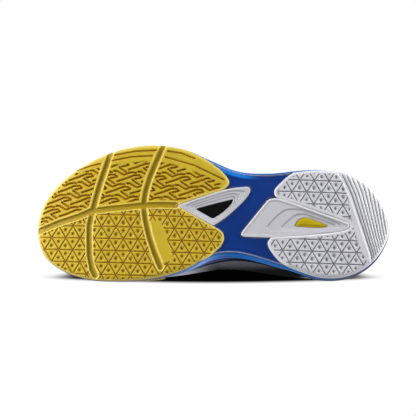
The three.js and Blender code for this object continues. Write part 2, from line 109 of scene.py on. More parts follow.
# ---------------------------------------------------------------- outlines

# Outlines run from the toe along the outer side to the heel, and back along the inner side.
SOLE_OUTLINE = [
    (144.9, -13), (139, 9), (124, 27), (104, 40.5), (80, 50.8), (52, 55.6), (24, 52.3), (0, 41.6),
    (-20, 34), (-45, 31.8), (-88, 34.8), (-113, 30.9), (-132, 17),
    (-144.8, -11),
    (-134, -36), (-114, -50.2), (-90, -53.3), (-57, -43.5), (-20, -33), (0, -34.5), (24, -47),
    (52, -54), (80, -55.6), (104, -53.6), (124, -46.6), (139, -34.6),
]

FEATHER_OUTLINE = [
    (139, -13), (133, 7), (119, 23.5), (100, 36.5), (78, 46.3), (51, 51), (24, 47.6), (0, 38.4),
    (-20, 32), (-45, 29.6), (-86, 30.4), (-109, 27), (-127, 14),
    (-139, -11),
    (-129, -33), (-110, -46), (-88, -48.4), (-57, -42.6), (-20, -36.8), (0, -39.4), (24, -46.4),
    (51, -50.6), (78, -51.4), (100, -49.4), (119, -42.5), (133, -31),
]

TOP_EDGE = [
    (50, -1, 62), (49.5, 2, 62.2), (48, 5, 62.6), (46, 8, 63.4), (42, 11, 65), (33, 13.6, 68.6),
    (16, 15.8, 76), (0, 18.5, 83.6), (-14, 22, 89), (-34, 26.5, 84), (-68, 29, 71), (-92, 25, 73.5),
    (-112, 13, 82),
    (-121, -9, 89),
    (-113, -30, 83), (-94, -42, 75.5), (-70, -45, 73), (-36, -37.5, 85.5), (-14, -26, 90.5),
    (0, -20, 84.6), (16, -16.8, 76.6), (33, -14.8, 69), (42, -12.4, 65.2), (46, -9.6, 63.5),
    (48, -6.8, 62.6), (49.5, -4, 62.2),
]

# How far the upper's side stands out below and above, and how high its lower handle reaches.
BULGE = [
    (5, 46, 24), (5, 42, 24), (5, 36, 24), (5, 30, 24), (4, 24, 22), (4, 19, 20),
    (5, 16, 20), (4, 13, 22), (3.5, 8, 24), (3.5, 5, 24), (5, 4, 20), (6, 4, 20), (6, 6, 20),
    (6, 8, 22),
    (6, 6, 20), (5, 4, 20), (5, 4, 20), (10, 6, 22), (16, 9, 22),
    (14, 13, 22), (8, 16, 20), (4, 20, 20), (4, 25, 22), (5, 30, 24), (5, 36, 24), (5, 42, 24),
]

STATIONS = len(SOLE_OUTLINE)
HEEL = STATIONS / 2       # the station at the back of the heel


def curve_at(points, k, closed=True):
    """Points of a smooth curve through `points` at station numbers k, which may be fractions."""
    p = np.asarray(points, float)
    n = len(p)
    k = np.asarray(k, float)
    if closed:
        k = np.mod(k, n)
        i = np.floor(k).astype(int) % n
        w = (k - np.floor(k))[..., None]
        around = [p[(i + d) % n] for d in (-1, 0, 1, 2)]
    else:
        k = np.clip(k, 0, n - 1 - 1e-9)
        i = np.floor(k).astype(int)
        w = (k - i)[..., None]
        padded = np.vstack([2 * p[0] - p[1], p, 2 * p[-1] - p[-2]])
        around = [padded[i + d] for d in (0, 1, 2, 3)]
    a, b, c, d = around
    steps = [np.sqrt(np.maximum(np.linalg.norm(v, axis=-1, keepdims=True), 1e-4))
             for v in (b - a, c - b, d - c)]
    out = ((b - a) / steps[0] - (c - a) / (steps[0] + steps[1]) + (c - b) / steps[1]) * steps[1]
    back = ((c - b) / steps[1] - (d - b) / (steps[1] + steps[2]) + (d - c) / steps[2]) * steps[1]
    return (b + out * w + (3 * (c - b) - 2 * out - back) * w ** 2
            + (2 * (b - c) + out + back) * w ** 3)


def outward(points, k):
    """The direction that points away from an outline, in plan."""
    ahead = curve_at(points, np.asarray(k) + 0.05) - curve_at(points, np.asarray(k) - 0.05)
    ahead = ahead[..., :2] / np.linalg.norm(ahead[..., :2], axis=-1, keepdims=True)
    return np.stack([ahead[..., 1], -ahead[..., 0]], -1)


def resampled(points, spacing, closed=True):
    """A polyline's points at even steps."""
    p = np.asarray(points, float)
    if closed:
        p = np.vstack([p, p[:1]])
    run = np.concatenate([[0], np.cumsum(np.linalg.norm(np.diff(p, axis=0), axis=1))])
    count = max(2, int(round(run[-1] / spacing)))
    at = np.linspace(0, run[-1], count + 1)
    if closed:
        at = at[:-1]
    return np.stack([np.interp(at, run, p[:, c]) for c in range(p.shape[1])], 1)


def rounded(corners, bend_steps=7):
    """A closed outline from (x, y, r) corners: r is how far from the corner its bend starts."""
    result = []
    n = len(corners)
    for i, (x, y, r) in enumerate(corners):
        here = np.array([x, y], float)
        before = np.array(corners[i - 1][:2], float) - here
        after = np.array(corners[(i + 1) % n][:2], float) - here
        if r <= 0:
            result.append(here)
            continue
        a = here + before * min(0.5, r / np.linalg.norm(before))
        b = here + after * min(0.5, r / np.linalg.norm(after))
        for w in np.linspace(0, 1, bend_steps):
            result.append((1 - w) ** 2 * a + 2 * w * (1 - w) * here + w ** 2 * b)
    return np.array(result)


def distance_to(points, line, closed=False):
    """The distance from each point to a polyline, in plan."""
    a = np.asarray(line, float)
    b = np.roll(a, -1, axis=0)
    if not closed:
        a, b = a[:-1], b[:-1]
    best = np.full(len(points), 1e9)
    for start, end in zip(a, b):
        edge = end - start
        length = max(float(edge @ edge), 1e-12)
        along = clamp01(((points - start) @ edge) / length)
        gap = points - start - along[:, None] * edge
        best = np.minimum(best, np.einsum("ij,ij->i", gap, gap))
    return np.sqrt(best)


def inside(points, outline):
    """True for each point that lies within a closed outline."""
    x, y = points[:, 0], points[:, 1]
    result = np.zeros(len(points), bool)
    a = np.asarray(outline, float)
    b = np.roll(a, -1, axis=0)
    for (x1, y1), (x2, y2) in zip(a, b):
        if y1 == y2:
            continue
        crosses = (y1 > y) != (y2 > y)
        result ^= crosses & (x < (x2 - x1) * (y - y1) / (y2 - y1) + x1)
    return result


def sole_span(k0, k1, steps):
    """The part of the sole's outline between two stations."""
    return curve_at(SOLE_OUTLINE, np.linspace(k0, k1, steps))


def station_near(x, y):
    """The station of the sole's outline nearest to a point."""
    k = np.linspace(0, STATIONS, 2601)
    return float(k[np.argmin(np.linalg.norm(curve_at(SOLE_OUTLINE, k) - (x, y), axis=1))])


# ---------------------------------------------------------------- meshes

def placed(name, data):
    """An object of some data, put in the scene."""
    result = bpy.data.objects.new(name, data)
    bpy.context.scene.collection.objects.link(result)
    return result


def new_object(name, vertices, faces, flat=False):
    """An object from millimetre vertices."""
    mesh = bpy.data.meshes.new(name)
    mesh.from_pydata((np.asarray(vertices, float) * MM).tolist(), [], faces)
    mesh.validate()
    mesh.update()
    if not flat:
        mesh.shade_smooth()
    return placed(name, mesh)


def set_attribute(obj, name, values):
    """Keeps one number for each vertex."""
    layer = obj.data.attributes.new(name, "FLOAT", "POINT")
    layer.data.foreach_set("value", np.asarray(values, np.float32))


def set_surface(obj, spots):
    """Gives each vertex its place on the surface, in millimetres, as the map "surface"."""
    layer = obj.data.uv_layers.new(name="surface")
    loops = np.zeros(len(obj.data.loops), np.int32)
    obj.data.loops.foreach_get("vertex_index", loops)
    layer.data.foreach_set("uv", (spots[loops] * MM).astype(np.float32).ravel())


def ring_faces(count, n):
    """The faces between rings of n vertices each."""
    return [(r * n + i, r * n + (i + 1) % n, (r + 1) * n + (i + 1) % n, (r + 1) * n + i)
            for r in range(count - 1) for i in range(n)]


def triangulated(outline, inner, holes=()):
    """Triangles of a plan outline with inner points, leaving out the holes."""
    loops = [np.asarray(outline)] + [np.asarray(h) for h in holes]
    points = np.vstack(loops + [inner]) if len(inner) else np.vstack(loops)
    edges = []
    start = 0
    for loop in loops:
        n = len(loop)
        edges += [(start + i, start + (i + 1) % n) for i in range(n)]
        start += n
    found = geometry.delaunay_2d_cdt([Vector(p) for p in points], edges, [], 0, 1e-6, False)
    made = np.array([(v.x, v.y) for v in found[0]])
    faces = np.array(found[2], int)
    middles = made[faces].mean(axis=1)
    keep = inside(middles, loops[0])
    for hole in loops[1:]:
        keep &= ~inside(middles, hole)
    faces = faces[keep]
    used = np.unique(faces)
    order = np.full(len(made), -1)
    order[used] = np.arange(len(used))
    return made[used], order[faces]


def grid_within(outline, holes, steps):
    """Points of a slanting grid inside an outline, clear of its edges and holes."""
    lo, hi = outline.min(axis=0), outline.max(axis=0)
    basis = np.array(steps, float)
    corners = np.array([[lo[0], lo[1]], [hi[0], lo[1]], [lo[0], hi[1]], [hi[0], hi[1]]])
    whole = np.linalg.solve(basis.T, corners.T)
    i, j = (np.arange(math.floor(w.min()), math.ceil(w.max()) + 1) for w in whole)
    grid = np.stack(np.meshgrid(i, j), -1).reshape(-1, 2) @ basis
    grid = grid[(grid > lo).all(axis=1) & (grid < hi).all(axis=1)]
    grid = grid[inside(grid, outline)]
    clear = np.linalg.norm(basis, axis=1).min() * 0.55
    for loop in [outline] + holes:
        grid = grid[distance_to(grid, loop, True) > clear]
    for hole in holes:
        grid = grid[~inside(grid, hole)]
    return grid


def wound(points, faces, side, start=0):
    """Plan triangles that all face up (side 1) or down (side -1), numbered from start."""
    a, b, c = (points[faces[:, i]] for i in range(3))
    turn = (b[:, 0] - a[:, 0]) * (c[:, 1] - a[:, 1]) - (b[:, 1] - a[:, 1]) * (c[:, 0] - a[:, 0])
    right = np.where((turn * side > 0)[:, None], faces, faces[:, [0, 2, 1]])
    return [tuple(face) for face in (right + start).tolist()]


def keys_of(points):
    """Plan points as keys that are equal where the points meet."""
    return [(round(x, 3), round(y, 3)) for x, y in points]


def plan_solid(name, outline, low, steps, holes=()):
    """A closed piece of the outsole, from its plan outline up to the midsole.

    `low` gives the heights of its ground face and the numbers that this face carries.
    `steps` are the two small vectors of the grid of points inside it.
    """
    outline = np.round(np.asarray(outline, float), 3)
    holes = [np.round(np.asarray(hole, float), 3) for hole in holes]
    ground, ground_faces = triangulated(outline, grid_within(outline, holes, steps), holes)
    top, top_faces = triangulated(outline, [], holes)
    heights, marks = low(ground)
    vertices = np.vstack([np.column_stack([ground, heights]),
                          np.column_stack([top, ground_side(top[:, 0]) + RUBBER])])
    offset = len(ground)
    faces = wound(ground, ground_faces, -1) + wound(top, top_faces, 1, offset)
    below = {key: i for i, key in enumerate(keys_of(ground))}
    above = {key: i + offset for i, key in enumerate(keys_of(top))}
    for number, loop in enumerate([outline] + holes):
        x, y = loop[:, 0], loop[:, 1]
        area = float(np.sum(x * np.roll(y, -1) - np.roll(x, -1) * y))
        forward = (area > 0) == (number == 0)
        keys = keys_of(loop)
        for key, after in zip(keys, keys[1:] + keys[:1]):
            side = (below[key], below[after], above[after], above[key])
            faces.append(side if forward else side[::-1])
    result = new_object(name, vertices, faces)
    result.data.set_sharp_from_angle(angle=math.radians(60))
    for mark, values in marks.items():
        rest = np.zeros(len(result.data.vertices) - offset)
        set_attribute(result, mark, np.concatenate([values, rest]))
    return result


def grid_solid(name, inner, outer, uv=None):
    """A closed piece from two grids of points, one for each face."""
    m, n = inner.shape[:2]
    vertices = np.vstack([inner.reshape(-1, 3), outer.reshape(-1, 3)])
    half = m * n
    faces = []
    for i in range(m - 1):
        for a in range(i * n, i * n + n - 1):
            faces.append((a, a + 1, a + n + 1, a + n))
            faces.append((half + a, half + a + n, half + a + n + 1, half + a + 1))
        low, top = i * n, i * n + n - 1
        faces.append((low, low + n, half + low + n, half + low))
        faces.append((top + n, top, half + top, half + top + n))
    end = (m - 1) * n
    for j in range(n - 1):
        faces.append((j + 1, j, half + j, half + j + 1))
        faces.append((end + j, end + j + 1, half + end + j + 1, half + end + j))
    result = new_object(name, vertices, faces)
    if uv is not None:
        set_surface(result, np.vstack([uv.reshape(-1, 2), uv.reshape(-1, 2)]))
    facing_out(result)
    return result


def facing_out(obj):
    """Turns a closed mesh's faces outwards if its volume comes out negative."""
    mesh = obj.data
    co = np.zeros(len(mesh.vertices) * 3)
    mesh.vertices.foreach_get("co", co)
    co = co.reshape(-1, 3)
    mesh.calc_loop_triangles()
    tri = np.zeros(len(mesh.loop_triangles) * 3, np.int32)
    mesh.loop_triangles.foreach_get("vertices", tri)
    a, b, c = (co[tri.reshape(-1, 3)[:, i]] for i in range(3))
    if np.einsum("ij,ij->i", a, np.cross(b, c)).sum() < 0:
        mesh.flip_normals()


# ---------------------------------------------------------------- the upper's surface

def upper_point(k, t):
    """The upper is one surface: k runs round the shoe, t from the feather line to the top edge."""
    k = np.asarray(k, float)
    t = np.asarray(t, float)[..., None]
    foot = curve_at(FEATHER_OUTLINE, k)
    foot = np.concatenate([foot, (foot_side(foot[..., 0]) + 1.0)[..., None]], -1)
    top = curve_at(TOP_EDGE, k)
    bulge = curve_at(BULGE, k)
    ahead = curve_at(FEATHER_OUTLINE, k + 0.3) - curve_at(FEATHER_OUTLINE, k - 0.3)
    ahead = ahead / np.linalg.norm(ahead, axis=-1, keepdims=True)
    out = np.stack([ahead[..., 1], -ahead[..., 0], np.zeros_like(k)], -1)
    low = foot + out * bulge[..., :1]
    low[..., 2] += bulge[..., 2]
    high = top + out * bulge[..., 1:2]
    from_toe = np.abs(np.mod(k + HEEL, STATIONS) - HEEL)
    high[..., 2] -= 3 + 17 * smooth((from_toe - 4) / 5)
    return ((1 - t) ** 3 * foot + 3 * t * (1 - t) ** 2 * low
            + 3 * t ** 2 * (1 - t) * high + t ** 3 * top)


def upper_normal(k, t):
    """The outward direction of the upper's surface."""
    k, t = np.broadcast_arrays(np.asarray(k, float), np.asarray(t, float))
    along = upper_point(k + 0.05, t) - upper_point(k - 0.05, t)
    up = upper_point(k, np.minimum(1, t + 0.01)) - upper_point(k, np.maximum(0, t - 0.01))
    normal = np.cross(along, up)
    return normal / np.linalg.norm(normal, axis=-1, keepdims=True)


def as_function(value):
    """Lets a number stand where a function is asked for."""
    return value if callable(value) else (lambda w: np.full_like(w, value))


def surface_grid(k0, k1, t0, t1, steps):
    """Station and height numbers over a panel. Each side may be a number or a function."""
    a, b = np.meshgrid(np.linspace(0, 1, steps[0] + 1), np.linspace(0, 1, steps[1] + 1),
                       indexing="ij")
    start, end = as_function(k0)(b), as_function(k1)(b)
    k = start + (end - start) * a
    low, high = as_function(t0)(a), as_function(t1)(a)
    return k, low + (high - low) * b


def panel(name, k0, k1, t0, t1, inner, outer, steps, swell=0.0, bevel=0.35):
    """A panel of the upper between two depths, with softened edges.

    `swell` raises its middle, as padding does.
    """
    k, t = surface_grid(k0, k1, t0, t1, steps)
    base = upper_point(k, t)
    normal = upper_normal(k, t)
    a = np.linspace(-1, 1, steps[0] + 1)[:, None]
    b = np.linspace(-1, 1, steps[1] + 1)[None, :]
    crown = swell * np.sqrt(np.maximum(0, (1 - a ** 8) * (1 - b ** 4)))[..., None]
    run = np.linalg.norm(np.diff(base, axis=0, prepend=base[:1]), axis=-1).mean(axis=1).cumsum()
    rise = np.linalg.norm(np.diff(base, axis=1, prepend=base[:, :1]), axis=-1).cumsum(axis=1)
    uv = np.stack([np.broadcast_to(run[:, None], rise.shape), rise], -1)
    sign = 1 if outer >= inner else -1
    piece = grid_solid(name, base + normal * inner, base + normal * (outer + sign * crown), uv)
    if bevel:
        soften = piece.modifiers.new("edges", "BEVEL")
        soften.width = bevel * MM
        soften.segments = 2
        soften.limit_method = "ANGLE"
        soften.angle_limit = math.radians(50)
    return piece


# ---------------------------------------------------------------- nodes

def feed(tree, made, inputs):
    """Fills a node's inputs; each may be a value or another node's output."""
    for key, value in inputs.items():
        if isinstance(value, bpy.types.NodeSocket):
            tree.links.new(value, made.inputs[key])
        else:
            made.inputs[key].default_value = value


def node(tree, kind, inputs=None, **settings):
    """Adds a node with its settings and its inputs."""
    made = tree.nodes.new(kind)
    for key, value in settings.items():
        setattr(made, key, value)
    feed(tree, made, inputs or {})
    return made


def linear(colour):
    """Linear RGBA from an sRGB hex code, or from a linear colour as it is."""
    if not isinstance(colour, str):
        return (*colour[:3], 1.0)
    parts = [int(colour[i:i + 2], 16) / 255 for i in (1, 3, 5)]
    return [c / 12.92 if c <= 0.04045 else ((c + 0.055) / 1.055) ** 2.4 for c in parts] + [1.0]


def maths(tree, operation, a, b=0.0, c=0.0, **settings):
    """One sum of up to three numbers."""
    return node(tree, "ShaderNodeMath", {0: a, 1: b, 2: c}, operation=operation, **settings).outputs[0]


def vectors(tree, operation, a, b):
    """A sum of two vectors, or of a vector and its scale."""
    second = "Scale" if operation == "SCALE" else 1
    return node(tree, "ShaderNodeVectorMath", {0: a, second: b}, operation=operation).outputs[0]


def blend_colour(tree, factor, first, second):
    """Mixes two colours; its factor and colours are sockets 0, 6 and 7."""
    return node(tree, "ShaderNodeMix", {0: factor, 6: first, 7: second}, data_type="RGBA").outputs[2]


def tinted(colour, factor):
    """A colour made darker or paler, as linear RGBA."""
    return [min(1.0, c * factor) for c in linear(colour)[:3]] + [1.0]


def new_material(name):
    """An empty material with its shader; returns both with the tree."""
    result = bpy.data.materials.new(name)
    result.use_nodes = True
    tree = result.node_tree
    tree.nodes.clear()
    shader = node(tree, "ShaderNodeBsdfPrincipled")
    node(tree, "ShaderNodeOutputMaterial", {"Surface": shader.outputs[0]})
    return result, tree, shader


def place_of(tree, size_mm, uv=False):
    """Object coordinates (or the surface's own), scaled so that one unit is size_mm."""
    source = (node(tree, "ShaderNodeUVMap", uv_map="surface").outputs[0] if uv
              else node(tree, "ShaderNodeTexCoord").outputs["Object"])
    scale = 1 / (size_mm * MM)
    return node(tree, "ShaderNodeMapping", {"Vector": source, "Scale": (scale, scale, scale)}).outputs[0]


def noise(tree, size_mm, detail, uv=False):
    """Soft clouds of about this size."""
    return node(tree, "ShaderNodeTexNoise", {"Vector": place_of(tree, size_mm, uv), "Scale": 1.0,
                                             "Detail": detail, "Roughness": 0.5}).outputs[0]


def field(tree, name):
    """A number that the mesh carries."""
    return node(tree, "ShaderNodeAttribute", attribute_name=name).outputs["Fac"]


def bump(tree, shader, height, depth_mm, strength):
    """Lets a height bend the light on a surface."""
    made = node(tree, "ShaderNodeBump", {"Height": height, "Distance": depth_mm * MM,
                                         "Strength": strength})
    feed(tree, shader, {"Normal": made.outputs[0]})


def remapped(tree, value, low, high, to_low=0.0, to_high=1.0, soft=False):
    """Carries the range low..high over to another one, with soft ends if asked."""
    return node(tree, "ShaderNodeMapRange", {"Value": value, "From Min": low, "From Max": high,
                                             "To Min": to_low, "To Max": to_high},
                interpolation_type="SMOOTHSTEP" if soft else "LINEAR").outputs[0]


# ---------------------------------------------------------------- materials

MATERIALS = {}


def colours():
    """The colours that a user may change."""
    return bpy.context.scene.shoe_colours


def finish(name):
    """Looks a material up, making it the first time."""
    if name not in MATERIALS:
        MATERIALS[name] = FINISHES[name]()
    return MATERIALS[name]


def moulded_rubber(name, face, floor, line, edge, rough):
    """Compression-moulded rubber: fine eggshell grain, with painted shade where the tread is cut deep
    and on the channel floors.

    Its beads and edges are paler: a painted highlight.
    """
    result, tree, shader = new_material(name)
    cloud = noise(tree, 14, 4)
    grain = noise(tree, 0.7, 2)
    tone = blend_colour(tree, remapped(tree, cloud, 0.35, 0.65), linear(face), tinted(face, 1.1))
    # painted highlight: the bead mark turns the face towards the pale edge colour
    tone = blend_colour(tree, maths(tree, "MULTIPLY", field(tree, "bead"), 0.6), tone, linear(edge))
    # painted shade: the channel floors take the darker floor colour
    tone = blend_colour(tree, field(tree, "channel"), tone, linear(floor))
    # painted shade: grooves and dimples take the dark line colour
    tone = blend_colour(tree, field(tree, "groove"), tone, linear(line))
    feed(tree, shader, {"Base Color": tone, "Specular IOR Level": 0.25,
                        "Roughness": remapped(tree, grain, 0.3, 0.7, rough - 0.06, rough + 0.08)})
    bump(tree, shader, grain, 0.05, 0.5)
    return result


def gum_rubber():
    """Yellow gum rubber: warm, slightly waxy; painted amber-brown shade in the cuts and a painted pale
    highlight on its edges.
    """
    return moulded_rubber("gum_rubber_moulded", colours().gum, colours().gum_floor, "#946208",
                          "#F0DC84", 0.5)


def white_rubber():
    """White solid rubber: matte and cool, with painted grey shade in the cuts and a painted pale
    highlight on its edges.
    """
    return moulded_rubber("white_rubber_moulded", colours().white, "#B4B4B9", "#86878C", "#F4F4F6", 0.5)


def moulded_plastic(name, colour, rough, gloss, flow_mm=30, deeper=0.8, trim=None, line=None):
    """Injection-moulded plastic: even colour with faint flow clouds and a soft sheen.

    Where the mesh says so it takes the colour `trim`, a painted pale highlight on its edges, and `line`
    as painted shade in its steps.
    """
    result, tree, shader = new_material(name)
    cloud = noise(tree, flow_mm, 3)
    grain = noise(tree, 0.9, 2)
    tone = blend_colour(tree, remapped(tree, cloud, 0.3, 0.7), tinted(colour, deeper), linear(colour))
    if trim:
        tone = blend_colour(tree, field(tree, "trim"), tone, linear(trim))
    # painted highlight: a paler copy of the colour where the bead mark says
    painted_highlight_colour = [c + (1 - c) * 0.35 for c in linear(colour)[:3]] + [1.0]
    tone = blend_colour(tree, maths(tree, "MULTIPLY", field(tree, "bead"), 0.8), tone, painted_highlight_colour)
    if line:
        # painted shade in the steps
        tone = blend_colour(tree, field(tree, "groove"), tone, linear(line))
    feed(tree, shader, {"Base Color": tone, "Specular IOR Level": gloss,
                        "Roughness": remapped(tree, grain, 0.3, 0.7, rough - 0.05, rough + 0.05)})
    bump(tree, shader, grain, 0.02, 0.3)
    return result


def plate_blue():
    """Nylon waist plate: deep blue, smooth from the mould, with broad soft highlights."""
    return moulded_plastic("nylon_plate_moulded", colours().plate, 0.5, 0.12, trim=colours().wing)


def wing_blue():
    """Thermoplastic side wing: bright blue and satin."""
    return moulded_plastic("urethane_wing_moulded", colours().wing, 0.4, 0.2)


def frame_white():
    """White urethane frame: clean, satin, with painted grey shade along its steps and a painted
    highlight on its edges.
    """
    return moulded_plastic("urethane_frame_moulded", colours().frame, 0.4, 0.3, deeper=0.94,
                           line="#77787E")


def clip_blue():
    """Heel clip: deep blue, harder and glossier than the textile round it."""
    return moulded_plastic("nylon_clip_moulded", "#0A3A9A", 0.32, 0.5)


def cushion_yellow():
    """Soft shock pad: opaque yellow gel with a faint skin grain."""
    return moulded_plastic("polymer_pad_cast", colours().pad, 0.55, 0.15, 8)


def midsole_foam():
    """Moulded foam: deep blue skin with the fine pebble that beads leave."""
    result, tree, shader = new_material("foam_moulded")
    cells = node(tree, "ShaderNodeTexVoronoi", {"Vector": place_of(tree, 1.6), "Scale": 1.0})
    tone = blend_colour(tree, remapped(tree, noise(tree, 20, 3), 0.3, 0.7), linear("#04225E"),
                        linear("#082C74"))
    feed(tree, shader, {"Base Color": tone, "Specular IOR Level": 0.2, "Roughness": 0.62})
    bump(tree, shader, cells.outputs["Distance"], 0.12, 0.5)
    return result


def woven_insert():
    """Glossy woven fibre insert: near black twill under clear resin."""
    result, tree, shader = new_material("fibre_twill_resin")
    waves = node(tree, "ShaderNodeTexWave", {"Vector": place_of(tree, 1.6), "Scale": 1.0},
                 bands_direction="DIAGONAL").outputs["Fac"]
    tone = blend_colour(tree, waves, linear("#010101"), linear("#050506"))
    feed(tree, shader, {"Base Color": tone, "Specular IOR Level": 0.08, "Roughness": 0.55})
    return result


def textile(name, colour, thread, pitch_mm, depth_mm, holes=0.0, sheen=0.2):
    """A knitted or woven cloth: rows of threads along and across the surface.

    `holes` darkens the open cells of a mesh.
    """
    result, tree, shader = new_material(name)
    split = node(tree, "ShaderNodeSeparateXYZ", {0: place_of(tree, pitch_mm, uv=True)}).outputs
    across, along = (maths(tree, "SINE", maths(tree, "MULTIPLY", split[i], 2 * math.pi)) for i in (0, 1))
    height = maths(tree, "MULTIPLY_ADD", maths(tree, "MULTIPLY", across, along), 0.5, 0.5)
    fuzz = noise(tree, 0.5, 2, uv=True)
    cloud = noise(tree, 18, 3)
    tone = blend_colour(tree, height, linear(thread), linear(colour))
    tone = blend_colour(tree, remapped(tree, cloud, 0.35, 0.65, 0.0, 0.12), tone, linear(thread))
    if holes:
        open_cells = remapped(tree, height, 0.0, 0.28, holes, 0.0)
        tone = blend_colour(tree, open_cells, tone, linear("#2A2E38"))
    feed(tree, shader, {"Base Color": tone, "Roughness": 0.85, "Sheen Weight": sheen,
                        "Sheen Roughness": 0.5})
    raised = maths(tree, "ADD", height, maths(tree, "MULTIPLY", fuzz, 0.2))
    bump(tree, shader, raised, depth_mm, 0.8)
    return result


def mesh_white():
    """Engineered air mesh: off-white, with rows of small open cells about a millimetre apart."""
    return textile("air_mesh_knitted", colours().mesh, "#AEB3BD", 1.9, 0.3, holes=0.7)


def lining_blue():
    """Brushed collar lining: soft bright blue knit with a nap that lifts its edges."""
    return textile("lining_brushed", "#1A6FCB", "#0F4FA0", 1.4, 0.2, sheen=0.5)


def lining_grey():
    """Plain woven lining of the forefoot."""
    return textile("lining_woven", "#C6C9CF", "#9296A0", 1.2, 0.15)


def sock_blue():
    """Sockliner top cloth: flat blue knit, worn smooth."""
    return textile("sockliner_knitted", "#1763BD", "#0E458C", 1.3, 0.15)


def stitch_board():
    """Insole board: pressed fibre felt, pale and dull."""
    return textile("fibre_board_pressed", "#CFCDC4", "#B4B1A6", 2.0, 0.1, sheen=0.0)


def bonded_film(name, colour, rough=0.42):
    """Heat-bonded synthetic: smooth microfibre face with a very fine leather grain."""
    result, tree, shader = new_material(name)
    cells = node(tree, "ShaderNodeTexVoronoi", {"Vector": place_of(tree, 0.9), "Scale": 1.0},
                 feature="DISTANCE_TO_EDGE").outputs["Distance"]
    cloud = noise(tree, 25, 3)
    tone = blend_colour(tree, remapped(tree, cloud, 0.3, 0.7), tinted(colour, 0.82), linear(colour))
    feed(tree, shader, {"Base Color": tone,
                        "Roughness": remapped(tree, cloud, 0.3, 0.7, rough - 0.05, rough + 0.06)})
    bump(tree, shader, cells, 0.06, 0.5)
    return result


def film_blue():
    """Deep blue overlay film."""
    return bonded_film("overlay_film_deep", "#0F3F9F")


def film_bright():
    """Bright blue overlay film."""
    return bonded_film("overlay_film_bright", "#1C86E2", 0.38)


def foam_sheet():
    """Open-cell foam: dull blue with pin-prick pores."""
    result, tree, shader = new_material("open_cell_foam")
    pores = node(tree, "ShaderNodeTexVoronoi", {"Vector": place_of(tree, 0.8), "Scale": 1.0}).outputs[0]
    tone = blend_colour(tree, remapped(tree, pores, 0.0, 0.5), linear("#12377C"), linear("#2A57A8"))
    feed(tree, shader, {"Base Color": tone, "Roughness": 0.9})
    bump(tree, shader, pores, 0.15, 0.8)
    return result


def stiffener():
    """Pressed stiffener sheet: grey, fibrous and dull."""
    return textile("stiffener_pressed", "#B7B8BA", "#9A9B9E", 1.8, 0.1, sheen=0.0)


def thread_white():
    """Bonded polyester sewing thread: white with a light twist."""
    result, tree, shader = new_material("sewing_thread_bonded")
    twist = node(tree, "ShaderNodeTexWave", {"Vector": place_of(tree, 0.8), "Scale": 1.0}).outputs["Fac"]
    tone = blend_colour(tree, twist, linear("#D5D8DE"), linear("#F2F3F5"))
    feed(tree, shader, {"Base Color": tone, "Roughness": 0.55})
    return result


FINISHES = {
    "gum_rubber": gum_rubber, "white_rubber": white_rubber, "plate_blue": plate_blue,
    "wing_blue": wing_blue, "frame_white": frame_white, "clip_blue": clip_blue,
    "cushion_yellow": cushion_yellow, "foam_blue": midsole_foam, "insert_black": woven_insert,
    "mesh_white": mesh_white, "lining": lining_blue, "lining_grey": lining_grey,
    "sock_textile": sock_blue, "board": stitch_board, "film_blue": film_blue,
    "film_bright": film_bright, "sock_foam": foam_sheet, "stiffener": stiffener,
    "thread": thread_white,
}
NODE_SLOTS = {part["node"]: part["material_slot"] for part in frame["record"]["subparts"]}


def settle(piece, stands_for, body="shoe"):
    """Gives a finished piece its material and its body, and hides the imported part that it stands for.
    """
    slot = NODE_SLOTS[stands_for]
    if not piece.data.materials:
        piece.data.materials.append(finish(slot))
    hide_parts(stands_for)
    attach(piece, body)


# ---------------------------------------------------------------- geometry nodes

def plain(piece):
    """Turns a piece's modifiers into its mesh."""
    bpy.context.view_layer.update()
    graph = bpy.context.evaluated_depsgraph_get()
    mesh = bpy.data.meshes.new_from_object(piece.evaluated_get(graph), depsgraph=graph)
    piece.modifiers.clear()
    old = piece.data
    piece.data = mesh
    mesh.name = piece.name
    bpy.data.meshes.remove(old)
    return piece


def run_tree(piece, tree, values):
    """Runs a node tree on a piece and keeps the result as its plain mesh."""
    modifier = piece.modifiers.new(tree.name, "NODES")
    modifier.node_group = tree
    for item in tree.interface.items_tree:
        if item.name in values:
            modifier[item.identifier] = values[item.name]
    plain(piece)


def new_tree(name, inputs):
    """A geometry tree with the inputs it is given; returns both."""
    tree = bpy.data.node_groups.new(name, "GeometryNodeTree")
    for way in ("INPUT", "OUTPUT"):
        tree.interface.new_socket("Geometry", in_out=way, socket_type="NodeSocketGeometry")
    for label, kind in inputs:
        tree.interface.new_socket(label, in_out="INPUT", socket_type="NodeSocket" + kind)
    return tree, node(tree, "NodeGroupInput").outputs


def close_tree(tree, shape, material):
    """Every tree ends in real geometry with its material."""
    real = node(tree, "GeometryNodeRealizeInstances", {0: shape}).outputs[0]
    done = node(tree, "GeometryNodeSetMaterial", {"Geometry": real, "Material": material})
    node(tree, "NodeGroupOutput", {0: done.outputs[0]})
    return tree


def named(tree, name):
    """A number that the mesh carries, by its name."""
    return node(tree, "GeometryNodeInputNamedAttribute", {0: name}).outputs[0]


def cut_in(tree, given, depth, mark):
    """Ends a tread tree: moves the face up by depth and keeps the larger "groove" number, the painted
    shade of the cuts.
    """
    marked = node(tree, "GeometryNodeStoreNamedAttribute", {
        "Geometry": given["Geometry"], "Name": "groove",
        "Value": maths(tree, "MAXIMUM", named(tree, "groove"), mark)},
        data_type="FLOAT", domain="POINT").outputs[0]
    shift = node(tree, "ShaderNodeCombineXYZ", {"Z": depth}).outputs[0]
    shape = node(tree, "GeometryNodeSetPosition", {"Geometry": marked, "Offset": shift}).outputs[0]
    return close_tree(tree, shape, given["Material"])


